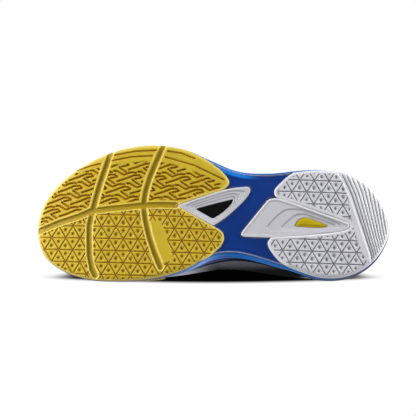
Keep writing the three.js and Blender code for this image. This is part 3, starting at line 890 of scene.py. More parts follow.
def lattice_tree():
    """Cuts a motif of grooves and dimples, repeated over a lattice, into a tread face.

    The vertex number named by Field says where the pattern shows, and "swell" how wide the dimples are.
    The number "groove" comes out for the material, as painted shade in the grooves and dimples.
    """
    tree, given = new_tree("tread_lattice", [
        ("Field", "String"), ("Motif", "Object"), ("Dots", "Object"), ("Origin", "Vector"),
        ("Step A", "Vector"), ("Step B", "Vector"), ("Repeats", "Int"), ("Groove Half Width", "Float"),
        ("Groove Depth", "Float"), ("Dot Radius", "Float"), ("Dot Depth", "Float"),
        ("Material", "Material")])
    size = maths(tree, "SUBTRACT", given["Repeats"], 1.0)
    cells = node(tree, "GeometryNodeMeshGrid", {
        "Size X": size, "Size Y": size, "Vertices X": given["Repeats"],
        "Vertices Y": given["Repeats"]}).outputs[0]
    place = node(tree, "GeometryNodeInputPosition").outputs[0]
    index = node(tree, "ShaderNodeSeparateXYZ", {0: place}).outputs
    spot = vectors(tree, "ADD", vectors(tree, "SCALE", given["Step A"], index[0]),
                   vectors(tree, "SCALE", given["Step B"], index[1]))
    spot = vectors(tree, "ADD", spot, given["Origin"])
    cells = node(tree, "GeometryNodeSetPosition", {"Geometry": cells, "Position": spot}).outputs[0]
    flat = vectors(tree, "MULTIPLY", place, (1.0, 1.0, 0.0))

    def nearness(source, element, reach):
        shape = node(tree, "GeometryNodeObjectInfo", {0: source}).outputs["Geometry"]
        copies = node(tree, "GeometryNodeInstanceOnPoints", {"Points": cells, "Instance": shape})
        real = node(tree, "GeometryNodeRealizeInstances", {0: copies.outputs[0]}).outputs[0]
        gap = node(tree, "GeometryNodeProximity", {0: real, "Source Position": flat},
                   target_element=element).outputs["Distance"]
        return remapped(tree, gap, 0.0, reach, 1.0, 0.0, soft=True)

    where = named(tree, given["Field"])
    reach = maths(tree, "MULTIPLY", given["Dot Radius"], named(tree, "swell"))
    groove = maths(tree, "MULTIPLY", where,
                   nearness(given["Motif"], "EDGES", given["Groove Half Width"]))
    dot = maths(tree, "MULTIPLY", nearness(given["Dots"], "POINTS", reach), where)
    depth = maths(tree, "MAXIMUM", maths(tree, "MULTIPLY", groove, given["Groove Depth"]),
                  maths(tree, "MULTIPLY", dot, given["Dot Depth"]))
    # painted shade: how dark the material paints the grooves and dimples
    mark = maths(tree, "MAXIMUM", maths(tree, "MULTIPLY", groove, 1.4, use_clamp=True),
                 maths(tree, "MULTIPLY", dot, 0.85))
    return cut_in(tree, given, depth, mark)


def ridge_tree():
    """Raises parallel ridges across a face. "across" counts them, "ridged" is where they show."""
    tree, given = new_tree("tread_ridges", [("Count", "Float"), ("Height", "Float"),
                                            ("Material", "Material")])
    turn = maths(tree, "MULTIPLY", maths(tree, "MULTIPLY", named(tree, "across"), given["Count"]),
                 2 * math.pi)
    wave = maths(tree, "MULTIPLY_ADD", maths(tree, "COSINE", turn), 0.5, 0.5)
    shown = maths(tree, "MULTIPLY", wave, named(tree, "ridged"))
    # the second value is painted shade in the hollows between the ridges
    return cut_in(tree, given, maths(tree, "MULTIPLY", shown, given["Height"]),
                  maths(tree, "MULTIPLY", shown, 0.42))


def stitch_tree():
    """Lays short threads end to end along a line."""
    tree, given = new_tree("stitch_line", [("Pitch", "Float"), ("Length", "Float"),
                                           ("Thread", "Float"), ("Material", "Material")])
    curve = node(tree, "GeometryNodeMeshToCurve", {0: given["Geometry"]}).outputs[0]
    spots = node(tree, "GeometryNodeCurveToPoints", {0: curve, "Length": given["Pitch"]}, mode="LENGTH")
    ball = node(tree, "GeometryNodeMeshUVSphere", {"Segments": 6, "Rings": 5, "Radius": 1.0}).outputs[0]
    size = node(tree, "ShaderNodeCombineXYZ", {"X": given["Thread"], "Y": given["Thread"],
                                               "Z": given["Length"]}).outputs[0]
    ball = node(tree, "GeometryNodeTransform", {"Geometry": ball, "Scale": size}).outputs[0]
    copies = node(tree, "GeometryNodeInstanceOnPoints", {
        "Points": spots.outputs[0], "Instance": ball, "Rotation": spots.outputs["Rotation"]})
    return close_tree(tree, copies.outputs[0], given["Material"])


TREES = {}


def tree_of(maker):
    """Each tree is made once."""
    if maker not in TREES:
        TREES[maker] = maker()
    return TREES[maker]


def lines_object(name, lines):
    """An object of plain edges, for a tree to read. A line of one point is a lone vertex."""
    points, edges = [], []
    for line in lines:
        start = len(points)
        points += [(p[0] * MM, p[1] * MM, (p[2] if len(p) > 2 else 0.0) * MM) for p in line]
        edges += [(i, i + 1) for i in range(start, len(points) - 1)]
    mesh = bpy.data.meshes.new(name)
    mesh.from_pydata(points, edges, [])
    return placed(name, mesh)


def discard(*objects):
    """Takes helper objects out of the scene."""
    for obj in objects:
        bpy.data.objects.remove(obj)


# ---------------------------------------------------------------- the forefoot tread

LINE_DEPTH = 1.3          # depth of the thin rim grooves

# The deep flex channels: one along the foot, two across it.
CENTRE_LINE = [(146, -15.5), (126.3, -7.8), (109.8, -2.9), (99.9, 1.2), (85.1, 2.9), (68.6, 4.5),
               (57, 5.8), (43.8, 6.2), (30, 5.9)]
FRONT_LINE = [(84, 50), (87.4, 39.2), (91.6, 26.8), (95.2, 14.4), (98.6, 1.2), (101.2, -10.3),
              (101.2, -22.7), (100.8, -35.1), (98.6, -45.8), (96, -51)]
BACK_LINE = [(40.6, 56), (47.1, 40.8), (52.1, 28.5), (55.4, 16.9), (57, 6.2), (55.4, -6.2),
             (52.1, -20.2), (47.9, -32.6), (43, -44.5)]

# Thin grooves along the outer rim of the three outer pods.
RIM_LINES = [
    [(80.9, 47.2), (64, 50.2), (46.3, 51.2)], [(82.6, 42.7), (66, 45.8), (49.6, 46.6)],
    [(37.2, 50.5), (26, 48.8), (14.9, 44.4)], [(39.3, 45.8), (15.4, 38.8), (-8.9, 27.4)],
    [(111.5, 35.3), (101, 38.4), (92.3, 40.4)],
]
# The woven pattern stays below this line.
WEAVE_TOP = [(-13, 22), (-6.4, 24.2), (0, 27.6), (8.7, 31.5), (22.7, 36.4), (32.4, 39.8), (41, 41.3),
             (56, 42.4), (69, 40.6), (81, 39.6), (92, 37.6), (111, 32.8), (119, 60), (150, 60)]
# The plain strip behind the back channel, on the inner side.
PLAIN_STRIP = [(56, -6.8), (42.6, -6.8), (38.6, -18), (31.8, -38.6), (38, -41), (50, -42)]

# The woven grip: the two steps of its lattice, where it starts and the lines it repeats.
WEAVE_A = (-10.64, -10.31)
WEAVE_B = (9.24, -9.57)
WEAVE_ORIGIN = (72.8, 30.7)
WEAVE_MOTIF = [
    [(5.6, -5.1), (-1.0, -3.1), (-8.4, -0.2), (-12.5, -0.2), (-14.8, -1.9), (-11.7, -2.7), (-8.8, -3.2)],
    [(-6.8, -3.9), (-12.5, -7.8)],
    [(8.3, 3.5), (5.6, 3.5), (0, 0), (-3.5, 1.7), (-6.8, 2.2), (-10.1, 1.9)],
]
# The forefoot's triangle grid: the side of a triangle, and the step from row to row.
PITCH = 11.9
ROW = 9.8
GRID_PARTS = 26           # mesh points along the side of a triangle
REPEATS = 33              # copies of a motif each way, enough for every piece


def tilted(length, degrees):
    """A step of the triangle grid, towards the heel and a little inwards."""
    angle = math.radians(degrees)
    return (-length * math.cos(angle), -length * math.sin(angle))


def triangle_motif(a, b):
    """Three lines of the triangle grid, and the middles of its two triangles."""
    a, b = np.array(a), np.array(b)
    lines = [[(0, 0), tuple(a)], [(0, 0), tuple(b)], [tuple(a), tuple(b)]]
    middles = [tuple((a + b) / 3), tuple((2 * a + 2 * b) / 3)]
    return lines, middles


def cut_lattice(piece, layer, lines, dots, origin, a, b, half_width, depth, dot_radius, dot_depth):
    """Runs the tread tree on a piece, where its attribute `layer` is above zero."""
    motif = lines_object("motif", lines)
    marks = lines_object("marks", [[dot] for dot in dots])
    run_tree(piece, tree_of(lattice_tree), {
        "Field": layer, "Motif": motif, "Dots": marks, "Origin": (origin[0] * MM, origin[1] * MM, 0.0),
        "Step A": (a[0] * MM, a[1] * MM, 0.0), "Step B": (b[0] * MM, b[1] * MM, 0.0),
        "Repeats": REPEATS, "Groove Half Width": half_width * MM, "Groove Depth": depth * MM,
        "Dot Radius": dot_radius * MM, "Dot Depth": dot_depth * MM,
        "Material": piece.data.materials[0]})
    discard(motif, marks)


def fine_steps(a, b):
    """The mesh grid that fits a triangle grid, so that its lines run along mesh points."""
    return np.array(a) / GRID_PARTS, np.array(b) / GRID_PARTS


def cut_triangles(piece, tread, origin, a, b, dimple_depth):
    """Cuts the triangle grid and its dimples into a tread piece."""
    lines, dots = triangle_motif(a, b)
    cut_lattice(piece, "grip", lines, dots, origin, a, b, tread.groove_half_width / MM,
                tread.groove_depth / MM, tread.dimple_radius / MM, dimple_depth)


def edge_lift(distance, radius, most=0.75):
    """How far a moulded edge rounds up, at a distance in from it."""
    inward = clamp01((radius - distance) / radius)
    return most * radius * (1 - np.sqrt(1 - 0.98 * inward ** 2))


# The forefoot rubber's back edge, from the inner side to the outer one.
FOREFOOT_BACK = [
    (10.8, -40.8), (2.6, -35.6), (-2.4, -31), (-6.6, -26.6), (-8.8, -21), (-7.8, -16.4), (-4.9, -13.6),
    (0.1, -10.9), (29.6, 5.8), (10.8, 12.6), (-7.3, 18.8), (-11.6, 21.9), (-13.2, 25.2),
    (-11.5, 29.3), (-7.3, 34.2), (-1.6, 38.8),
]


def smooth_line(points, spacing, stiff=()):
    """A smooth open curve through points, as even steps; it turns sharply at the `stiff` ones."""
    cuts = [0] + list(stiff) + [len(points) - 1]
    parts = []
    for start, end in zip(cuts, cuts[1:]):
        span = points[start:end + 1]
        k = np.linspace(0, len(span) - 1, 24 * (len(span) - 1) + 1)
        parts.append(resampled(curve_at(span, k, closed=False), spacing, closed=False))
    return np.vstack([parts[0]] + [part[1:] for part in parts[1:]])


def line_x(line, y):
    """Where a line that runs across the foot passes a given y."""
    points = sorted(line, key=lambda q: q[1])
    return np.interp(y, [q[1] for q in points], [q[0] for q in points])


def forefoot_outline():
    """The forefoot rubber's outline, and the part of it that is the sole's own rim."""
    lateral, medial = station_near(8, 44.5), station_near(11, -41)
    rim = sole_span(lateral, medial - STATIONS, 420)
    back = smooth_line([tuple(rim[-1])] + FOREFOOT_BACK[1:] + [tuple(rim[0])], 0.8, (8,))
    return resampled(np.vstack([rim, back[1:-1]]), 0.8), rim


def build_forefoot(tread):
    """The yellow forefoot rubber, one piece: pods between channels, woven and triangle grips."""
    outline, rim = forefoot_outline()
    a = tilted(PITCH, 1.7)
    b = (a[0] / 2, a[1] / 2 - ROW)

    def low(p):
        x, y = p[:, 0], p[:, 1]
        to_rim = distance_to(p, rim)
        to_edge = distance_to(p, outline, True)
        centre = distance_to(p, CENTRE_LINE)
        cross = np.minimum(distance_to(p, FRONT_LINE), distance_to(p, BACK_LINE))
        channel_gap = np.minimum(centre, cross)
        front_x, back_x = line_x(FRONT_LINE, y), line_x(BACK_LINE, y)
        nearest = np.where(np.abs(x - front_x) < np.abs(x - back_x), front_x, back_x)
        heel_side = (x < nearest) & (cross < centre + 0.4)
        wall = np.where(heel_side, 2.0, 1.0)
        channel = smooth((2.6 - channel_gap) / wall + np.where(heel_side, 0.45, 0.0))
        bead_line, bead_width = np.where(heel_side, 3.2, 2.9), np.where(heel_side, 1.3, 0.8)
        # a small raised bead beside each channel, also painted paler as a highlight
        bead = smooth(1 - np.abs(channel_gap - bead_line) / bead_width)
        lines = np.min([distance_to(p, line) for line in RIM_LINES], axis=0)
        line = smooth((0.85 - lines) / 0.6)
        middle = np.interp(x, *np.transpose(CENTRE_LINE[::-1]))
        outer_side = smooth((y - middle) * 2)
        ceiling = np.interp(x, *np.transpose(WEAVE_TOP))
        weave = (outer_side * smooth((channel_gap - 3.7) / 0.6) * smooth((ceiling - y) / 0.6)
                 * smooth((to_edge - 1.9) / 0.6))
        grip = ((1 - outer_side) * smooth((channel_gap - 3.0) / 0.5) * smooth((to_edge - 1.2) / 0.6)
                * np.where(inside(p, PLAIN_STRIP), 0.0, 1.0))
        marks = {
            # painted shade on the channel floors
            "channel": smooth((2.3 - channel_gap) / 0.9),
            # painted shade in the rim grooves
            "groove": line,
            # painted highlight along the channel beads, weaker on the outer side, and round the outline
            "bead": bead * (1 - 0.4 * outer_side) + 0.8 * smooth((3.0 - to_edge) / 3.0),
            "weave": weave,
            "grip": grip,
            "swell": 0.8 + 0.2 * smooth((to_rim - 3) / 22) * smooth((112 - x) / 30),
        }
        lift = np.maximum(edge_lift(to_rim, 4.6), edge_lift(to_edge, 1.4))
        cut = np.maximum(channel * tread.channel_depth / MM, line * LINE_DEPTH)
        z = ground_side(x) + np.maximum(lift, 0) + cut * smooth(to_edge / 2.5 + 0.3) - 0.3 * bead
        return np.minimum(z, ground_side(x) + RUBBER - LEAST_RUBBER), marks

    piece = plan_solid("forefoot_tread", outline, low, fine_steps(a, b))
    piece.data.materials.append(finish("gum_rubber"))
    cut_lattice(piece, "weave", WEAVE_MOTIF, [(0, 0, 500)], WEAVE_ORIGIN, WEAVE_A, WEAVE_B, 1.15, 1.9,
                1.0, 0.0)
    cut_triangles(piece, tread, (78.9, -11.6), a, b, 1.7)
    settle(piece, "forefoot_outsole")


# ---------------------------------------------------------------- the heel tread

# The edge round the heel's valley, its raised bead and the front limit of its grips.
HEEL_VALLEY = [
    (-48.6, -19.9), (-71.7, -18.6), (-104.7, -15.1), (-110.4, -12.8), (-111.4, -10.6),
    (-109.8, -8.4), (-104.7, -6), (-88.2, 0.2), (-71.7, 6), (-52.8, 12.4),
]
HEEL_BEAD = [(-99.6, 36), (-104.9, 26.4), (-111.3, 12.4), (-116.9, -4.9), (-122.5, -22.2),
             (-126.7, -34.4), (-127.4, -40.4)]
HEEL_LIMIT = [(-103, 36), (-106.4, 27.5), (-111.6, 14), (-113.4, 2), (-114.8, -8), (-118.8, -22),
              (-123.4, -34), (-127.6, -42)]


def heel_outline():
    """The heel rubber's outline, and the part of it that is the sole's own rim."""
    lateral, medial = station_near(-66, 33), station_near(-61.5, -45.4)
    rim = sole_span(lateral, medial, 320)
    inner = ([tuple(rim[-1]), (-54.8, -40.6), (-49.4, -34.6), (-45.8, -29), (-44.6, -24.8),
              (-46.4, -21.2)] + HEEL_VALLEY
             + [(-50.4, 14.6), (-50.3, 18.6), (-54.1, 23.4), (-60.2, 29), tuple(rim[0])])
    back = smooth_line(inner, 0.8)
    return resampled(np.vstack([rim, back[1:-1]]), 0.8), rim


def build_heel(tread):
    """The white heel rubber: triangle grips in both lobes, and ridges round the back."""
    outline, rim = heel_outline()
    a, b = tilted(11.96, 2.0), (-5.6, -9.86)

    def low(p):
        x = p[:, 0]
        to_rim = distance_to(p, rim)
        to_edge = distance_to(p, outline, True)
        to_bead = distance_to(p, HEEL_BEAD)
        behind = x < line_x(HEEL_BEAD, p[:, 1])
        limit_x = line_x(HEEL_LIMIT, p[:, 1]) + 1.5
        # the raised bead, also painted paler as a highlight
        bead = smooth(1 - np.abs(to_bead - 0.1) / 0.95) * smooth((to_rim - 0.4) / 1.5)
        ridged = smooth((to_bead - 0.9) / 0.8) * smooth((to_rim - 0.5) / 2.6)
        marks = {
            "channel": np.zeros(len(x)),
            # painted shade: a grey band just behind the bead
            "groove": np.where(behind, 0.45 * smooth(1 - np.abs(to_bead - 2.6) / 1.7), 0.0),
            # painted highlight on the bead, round the outline and over the back behind the bead
            "bead": np.maximum(np.maximum(bead, 0.8 * smooth((2.2 - to_edge) / 2.2)),
                               np.where(behind, 0.75 * smooth((to_bead - 3) / 6), 0.0)),
            "grip": smooth((x - limit_x) / 0.6) * smooth((to_edge - 2.3) / 0.6),
            "swell": 0.7 + 0.3 * smooth((to_edge - 3) / 10),
            "across": to_bead / np.interp(p[:, 1], [-38, 24], [1.8, 2.9]),
            "ridged": np.where(behind, ridged, 0.0),
        }
        lift = np.maximum(edge_lift(to_rim, 4.2), edge_lift(to_edge, 1.4))
        z = ground_side(x) + lift - 0.3 * bead
        return np.minimum(z, ground_side(x) + RUBBER - LEAST_RUBBER), marks

    piece = plan_solid("heel_tread", outline, low, fine_steps(a, b))
    piece.data.materials.append(finish("white_rubber"))
    run_tree(piece, tree_of(ridge_tree), {"Count": 1.0, "Height": tread.ridge_height,
                                          "Material": piece.data.materials[0]})
    cut_triangles(piece, tread, (-92.4, -32.1), a, b, 1.6)
    settle(piece, "heel_outsole")


# ---------------------------------------------------------------- the waist

# Outlines of (x, y, r) corners: both frames, and the windows in them.
WINDOW = [(14.2, 3.2, 1.4), (-1, 7.6, 14), (-16.6, 11.6, 1.2), (-14.6, 7.2, 3), (-8, 0.6, 10),
          (0.4, -4.6, 1.4)]
FRAME_OUTLINE = [(29.6, 5.7, 1.6), (10.8, 12.4, 3), (-12.3, 20.4, 8), (-29.6, 21.9, 3), (-31, 18.6, 2.5),
                 (-27.4, 12.2, 5), (-12.4, -2.4, 14), (0.1, -10.8, 1)]
HEEL_FRAME_OUTLINE = [(-20.2, -19.4, 7), (-46.2, -20.4, 3), (-71.7, -18.9, 3), (-104.7, -15.4, 4),
                      (-111, -12.6, 2.4), (-111, -8.8, 2.4), (-104.7, -6.3, 4), (-71.7, 5.7, 4),
                      (-52.4, 12.2, 4), (-45.4, 11.6, 3)]
HEEL_WINDOW = [(-66.4, -10.9, 1.6), (-69, -5.6, 3), (-75.4, -3.6, 4), (-80.6, -5.2, 3),
               (-93.9, -10.6, 1.4), (-91, -12, 1.4), (-80, -12, 3)]

# The steps that lead down to the heel's window.
HEEL_STEPS = [
    [(-43.8, -11.4, 1.6), (-46.4, -15, 1.6), (-66, -15, 3), (-104.6, -11.4, 1), (-104, -9.4, 1),
     (-92.9, -4.6, 3), (-73, 2.6, 4), (-59, 3.2, 5), (-49.6, -4.6, 4)],
    [(-55, -12, 1.2), (-58.4, -13.8, 1.4), (-80, -13.2, 3), (-100, -11.2, 0.8), (-99.6, -9.9, 0.8),
     (-87.5, -5.6, 3), (-76, -1.2, 3), (-67.6, -1, 4), (-61.6, -6, 3)],
]
RISER = 0.16              # the part of a step that its riser takes up
HALF_MILLIMETRE = ((0.5, 0.0), (0.25, 0.433))     # an even grid of that pitch


def loop_of(corners):
    """A rounded outline as points half a millimetre apart."""
    return resampled(rounded(corners), 0.5)


def terraces(nearness, steps, height):
    """Stairs with soft risers: nearness runs 0..1 over them."""
    scaled = clamp01(nearness) * steps
    whole = np.floor(scaled)
    return (whole + smooth((scaled - whole) / RISER)) * height


def stair_edge(nearness, steps):
    """1 along the edges of those stairs, 0 on their treads."""
    scaled = clamp01(nearness) * steps
    part = scaled - np.floor(scaled)
    return smooth(1 - np.abs(part - RISER * 0.5) / RISER)


def build_frames():
    """The white frames over the waist, stepped down to their windows, and what fills those."""
    frame_loop, window = loop_of(FRAME_OUTLINE), loop_of(WINDOW)

    def low(p):
        to_edge, to_window = distance_to(p, frame_loop, True), distance_to(p, window, True)
        w = to_edge / (to_edge + to_window + 1e-6)
        stairs = np.clip((w - 0.22) / 0.7, 0, 1)
        # painted grey shade on the stair risers and a painted highlight round the outer edge
        marks = {"groove": 0.35 * stair_edge(stairs, 3), "bead": smooth((1.3 - to_edge) / 1.0)}
        cut = terraces(stairs, 3, 0.8)
        return ground_side(p[:, 0]) + edge_lift(to_edge, 0.8) + cut + edge_lift(to_window, 0.7), marks

    settle(plan_solid("midfoot_frame_shell", frame_loop, low, ((0.45, 0.0), (0.225, 0.39)), [window]),
           "midfoot_frame")

    hole = window + (window.mean(axis=0) - window) * 0.02
    settle(plan_solid("fibre_insert", hole, lambda p: (ground_side(p[:, 0]) + 2.4, {}),
                      ((1.5, 0.0), (0.75, 1.3))), "window_insert")

    loop, pad_hole = loop_of(HEEL_FRAME_OUTLINE), loop_of(HEEL_WINDOW)
    steps = [loop_of(step) for step in HEEL_STEPS]

    def low_heel(p):
        x = p[:, 0]
        to_edge, to_window = distance_to(p, loop, True), distance_to(p, pad_hole, True)
        depth = 0.5 * smooth((to_edge - 1.7) / 0.9)
        line = smooth(1 - np.abs(to_edge - 1.9) / 0.5) * np.where(x < -48, 1.0, 0.3)
        for step in steps:
            gap = distance_to(p, step, True) * np.where(inside(p, step), 1, -1)
            depth = depth + 0.85 * smooth(gap / 1.1 + 0.5)
            line = np.maximum(line, smooth(1 - np.abs(gap - 0.1) / 0.55))
        # painted grey shade along the edge line and the steps, and a painted highlight round the outer
        # edge
        marks = {"groove": 0.35 * line, "bead": smooth((1.6 - to_edge) / 1.2)}
        z = ground_side(x) + edge_lift(to_edge, 0.8) + np.minimum(depth, 2.6) + edge_lift(to_window, 0.5)
        return z, marks

    settle(plan_solid("heel_frame_shell", loop, low_heel, HALF_MILLIMETRE, [pad_hole]), "heel_frame")

    hole = pad_hole + (pad_hole.mean(axis=0) - pad_hole) * 0.03

    def crown(p):
        return ground_side(p[:, 0]) + 1.9 - 0.9 * smooth(distance_to(p, hole, True) / 2.5), {}

    settle(plan_solid("shock_pad", hole, crown, HALF_MILLIMETRE), "heel_cushion")


def plate_outline():
    """The waist plate fills what the rubber and the frames leave of the sole."""
    lateral = sole_span(station_near(8, 44.5) + 0.04, station_near(-66, 33) - 0.04, 90)
    medial = sole_span(station_near(-61.5, -45.4) + 0.04, station_near(11, -41) - 0.04, 90)
    gap = 0.25
    heel_top = [(-60.2 + gap, 29), (-54.1 + gap, 23.4), (-50.3 + gap, 18.6), (-50.2, 14.6)]
    heel_frame = [(-48.5, 12.6), (-45, 11.9), (-22.2, -16.4), (-22.6, -18.4), (-24.6, -19.9),
                  (-45.6, -20.8)]
    heel_low = [(-44.3, -24.8), (-45.5, -29), (-49.1, -34.7), (-54.5, -40.8)]
    front_low = [(2.4, -35.9), (-2.7, -31.2), (-6.9, -26.7), (-9.1, -21), (-8.1, -16.3), (-5.1, -13.4)]
    front_frame = [(-0.3, -11), (-6.6, -6.9), (-12.9, -2.2), (-20.6, 5), (-27.9, 12.4), (-31.3, 18.6),
                   (-31.2, 20.4), (-29.8, 22.2), (-12.6, 20.8)]
    front_top = [(-13.5, 25.2), (-11.8, 29.5), (-7.5, 34.5), (-1.8, 39.1)]
    return np.vstack([lateral, heel_top, heel_frame, heel_low,
                      medial, front_low, front_frame, front_top])


def build_plate():
    """The deep blue waist plate, set back from the tread, with a raised rim that carries a painted pale
    highlight.
    """
    outline = resampled(plate_outline(), 0.7)
    rims = [sole_span(station_near(12, 47), station_near(-76, 35), 120),
            sole_span(station_near(-70, -48), station_near(20, -46), 120)]

    def low(p):
        x = p[:, 0]
        to_outer = distance_to(p, rims[0])
        to_rim = np.minimum(to_outer, distance_to(p, rims[1]))
        to_edge = distance_to(p, outline, True)
        rim = smooth(1 - np.abs(to_rim - 0.9) / 0.9)
        marks = {
            # painted highlight on the raised rim and along the edge
            "bead": np.maximum(0.9 * rim, 0.25 * smooth(1 - to_edge / 0.7)),
            "groove": np.zeros(len(x)),
            "trim": smooth((4.6 - to_outer) / 1.6) * smooth((x + 42) / 22) * smooth((13 - x) / 4),
        }
        ribs = 0.25 * smooth(1 - np.abs(to_rim - 4.5) / 2.5)
        return ground_side(x) + 1.5 - 0.9 * rim - ribs + edge_lift(to_rim, 1.2), marks

    settle(plan_solid("waist_plate", outline, low, ((0.8, 0.0), (0.4, 0.69))), "shank_plate")


# ---------------------------------------------------------------- midsole and wings

RIM_OUT = 1.6             # how far the top edge stands out from the feather line, at least
MIDSOLE_TOP = 0.75        # height of that edge over the footbed


def midsole_side(k, s, out=0.0):
    """A point of the midsole's side wall: s runs from the tread's edge to the top edge."""
    k, s = np.broadcast_arrays(np.asarray(k, float), np.asarray(s, float))
    sole = curve_at(SOLE_OUTLINE, k)
    feather = curve_at(FEATHER_OUTLINE, k)
    away = outward(SOLE_OUTLINE, k)
    reach = np.einsum("...i,...i->...", sole - feather, outward(FEATHER_OUTLINE, k))
    rim = feather + outward(FEATHER_OUTLINE, k) * np.maximum(RIM_OUT, reach)[..., None]
    from_arch = np.abs(np.mod(k, STATIONS) - 14.6)
    lip = 1.9 * smooth(1 - from_arch / 3.3) * np.sin(clamp01(s / 0.7) * np.pi / 2)
    ease = np.sin(clamp01(s) * np.pi / 2) ** 1.1
    swell = 0.3 * np.sin(clamp01(s) * np.pi) - 0.6 * smooth(1 - np.abs(s - 0.68) / 0.07)
    plan = sole + (rim - sole) * ease[..., None] + away * (swell + lip + out)[..., None]
    low = ground_side(sole[..., 0]) + RUBBER + 0.05
    high = foot_side(rim[..., 0]) + MIDSOLE_TOP
    return np.concatenate([plan, (low + (high - low) * s)[..., None]], -1)


def shrink(points, amount):
    """Moves a ring of plan points in towards its own middle line."""
    away = np.roll(points, -1, axis=0) - np.roll(points, 1, axis=0)
    away /= np.linalg.norm(away, axis=1, keepdims=True)
    return points - np.stack([away[:, 1], -away[:, 0]], 1) * amount


def build_midsole():
    """The foam midsole: one ring loft, with a rounded top edge and a shallow footbed."""
    k = np.linspace(0, STATIONS, 313)[:-1]
    n = len(k)
    rings = [midsole_side(k, np.full_like(k, s)) for s in np.linspace(0, 1, 32)]
    rings[0][:, 2] = ground_side(rings[0][:, 0]) + RUBBER + 0.05
    top = rings[-1]
    for inset, drop in ((0.3, 0.0), (0.9, 0.15)):
        rings.append(np.column_stack([shrink(top[:, :2], inset), top[:, 2] + 0.1 - drop]))
    bed = curve_at(FEATHER_OUTLINE, k) * 0.9995
    middle = np.stack([bed[:, 0] * 0.985, np.full(n, -6.0)], 1)
    rings.append(np.column_stack([bed, foot_side(bed[:, 0])]))
    for shrink_to in (0.9, 0.7, 0.45, 0.2):
        plan = middle + (bed - middle) * shrink_to
        rings.append(np.column_stack([plan, foot_side(plan[:, 0])]))
    faces = ring_faces(len(rings), n)
    last = (len(rings) - 1) * n
    for i in range(n // 2):
        a, b, c, d = i, i + 1, (n - i - 1) % n, (n - i) % n
        for start, turned in ((0, True), (last, False)):
            corners = list(dict.fromkeys((start + a, start + b, start + c, start + d)))
            if len(corners) > 2:
                faces.append(tuple(reversed(corners)) if turned else tuple(corners))
    piece = new_object("foam_midsole", np.vstack(rings), faces)
    piece.data.set_sharp_from_angle(angle=math.radians(50))
    facing_out(piece)
    settle(piece, "midsole")


def wing(name, k0, k1, reach, wall):
    """A thin bright shell over the midsole's side, tapering away at both ends."""
    k = np.linspace(k0, k1, 160)
    w = (k - k0) / (k1 - k0)
    taper = smooth(np.minimum(w, 1 - w) / 0.32)
    rows = np.linspace(0, 1, 13)[None, :]
    low = 0.06 - 0.22 * taper
    high = 0.12 + (reach - 0.12) * taper
    s = low[:, None] + (high - low)[:, None] * rows
    thick = wall * np.sqrt(clamp01(1 - (2 * rows - 1) ** 6)) * smooth(taper + 0.1)[:, None]
    along = np.broadcast_to(k[:, None], s.shape)
    return grid_solid(name, midsole_side(along, s, 0.12), midsole_side(along, s, 0.2 + thick))


def build_wings():
    """The bright shells that climb the midsole at the waist, one each side."""
    settle(wing("wing_lateral", 5.9, 10.6, 0.4, 0.7), "lateral_side_wing")
    inner = wing("wing_medial", STATIONS - 10.4, STATIONS - 4.6, 0.3, 1.2)
    x = np.array([corner.co.x for corner in inner.data.vertices]) / MM
    # painted highlight on the medial wing, growing towards the toe; no bead here
    set_attribute(inner, "bead", 0.5 * smooth((x + 8) / 30))
    settle(inner, "medial_side_wing")


# ---------------------------------------------------------------- the upper

OVER = SKIN + LAYER       # depth of an overlay's inner face
UNDER = -LAYER            # depth of a lining's outer face
VAMP_END = 4.6            # station where the vamp meets the quarters
CAP_END = 3.4             # station where the toe cap ends
EYELETS = np.linspace(3.9, 7.75, 6)
EYELET_T = 0.9
EYELET_RADIUS = 2.0


def ring_frame(k, t):
    """A place on the upper with its outward direction."""
    return upper_point(np.array([k]), np.array([t]))[0], upper_normal(np.array([k]), np.array([t]))[0]


def punch_all(piece, side, stations):
    """Cuts the lace holes through a panel."""
    vertices, faces = [], []
    for k in stations:
        middle, normal = ring_frame(side * k, EYELET_T)
        turn = Vector(normal).to_track_quat("Z", "Y")
        start = len(vertices)
        for height in (-7, 7):
            for i in range(20):
                angle = 2 * math.pi * i / 20
                spot = Vector((EYELET_RADIUS * math.cos(angle), EYELET_RADIUS * math.sin(angle), height))
                vertices.append(tuple(Vector(middle) + turn @ spot))
        faces += [(start + i, start + (i + 1) % 20, start + 20 + (i + 1) % 20, start + 20 + i)
                  for i in range(20)]
        faces += [tuple(range(start + 19, start - 1, -1)), tuple(range(start + 20, start + 40))]
    cutter = new_object("punch", vertices, faces)
    facing_out(cutter)
    cut = piece.modifiers.new("eyelets", "BOOLEAN")
    cut.operation = "DIFFERENCE"
    cut.solver = "EXACT"
    cut.object = cutter
    plain(piece)
    discard(cutter)
    return piece


def surface_line(k, t, depth):
    """Points on the upper at a depth, for a seam."""
    k, t = np.broadcast_arrays(np.asarray(k, float), np.asarray(t, float))
    return upper_point(k, t) + upper_normal(k, t) * depth


def seam(name, lines, body="shoe"):
    """Rows of stitches along lines."""
    size = bpy.context.scene.shoe_stitching
    piece = lines_object(name, [resampled(line, 0.6, closed=False) for line in lines])
    run_tree(piece, tree_of(stitch_tree), {"Pitch": size.pitch, "Length": size.stitch,
                                           "Thread": size.thread, "Material": finish("thread")})
    piece.data.shade_smooth()
    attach(piece, body)


def build_skin():
    """The three base panels of mesh, punched for the lace."""
    vamp = panel("vamp_mesh", -VAMP_END, VAMP_END, 0, 1, 0, SKIN, (150, 44))
    punch_all(vamp, 1, EYELETS[:1])
    punch_all(vamp, -1, EYELETS[:1])
    settle(vamp, "vamp")
    gap = 0.02
    outer = panel("quarter_mesh_lateral", VAMP_END + gap, HEEL - gap, 0, 1, 0, SKIN, (120, 44))
    settle(punch_all(outer, 1, EYELETS[1:]), "lateral_quarter")
    inner = panel("quarter_mesh_medial", -HEEL + gap, -VAMP_END - gap, 0, 1, 0, SKIN, (120, 44))
    settle(punch_all(inner, -1, EYELETS[1:]), "medial_quarter")


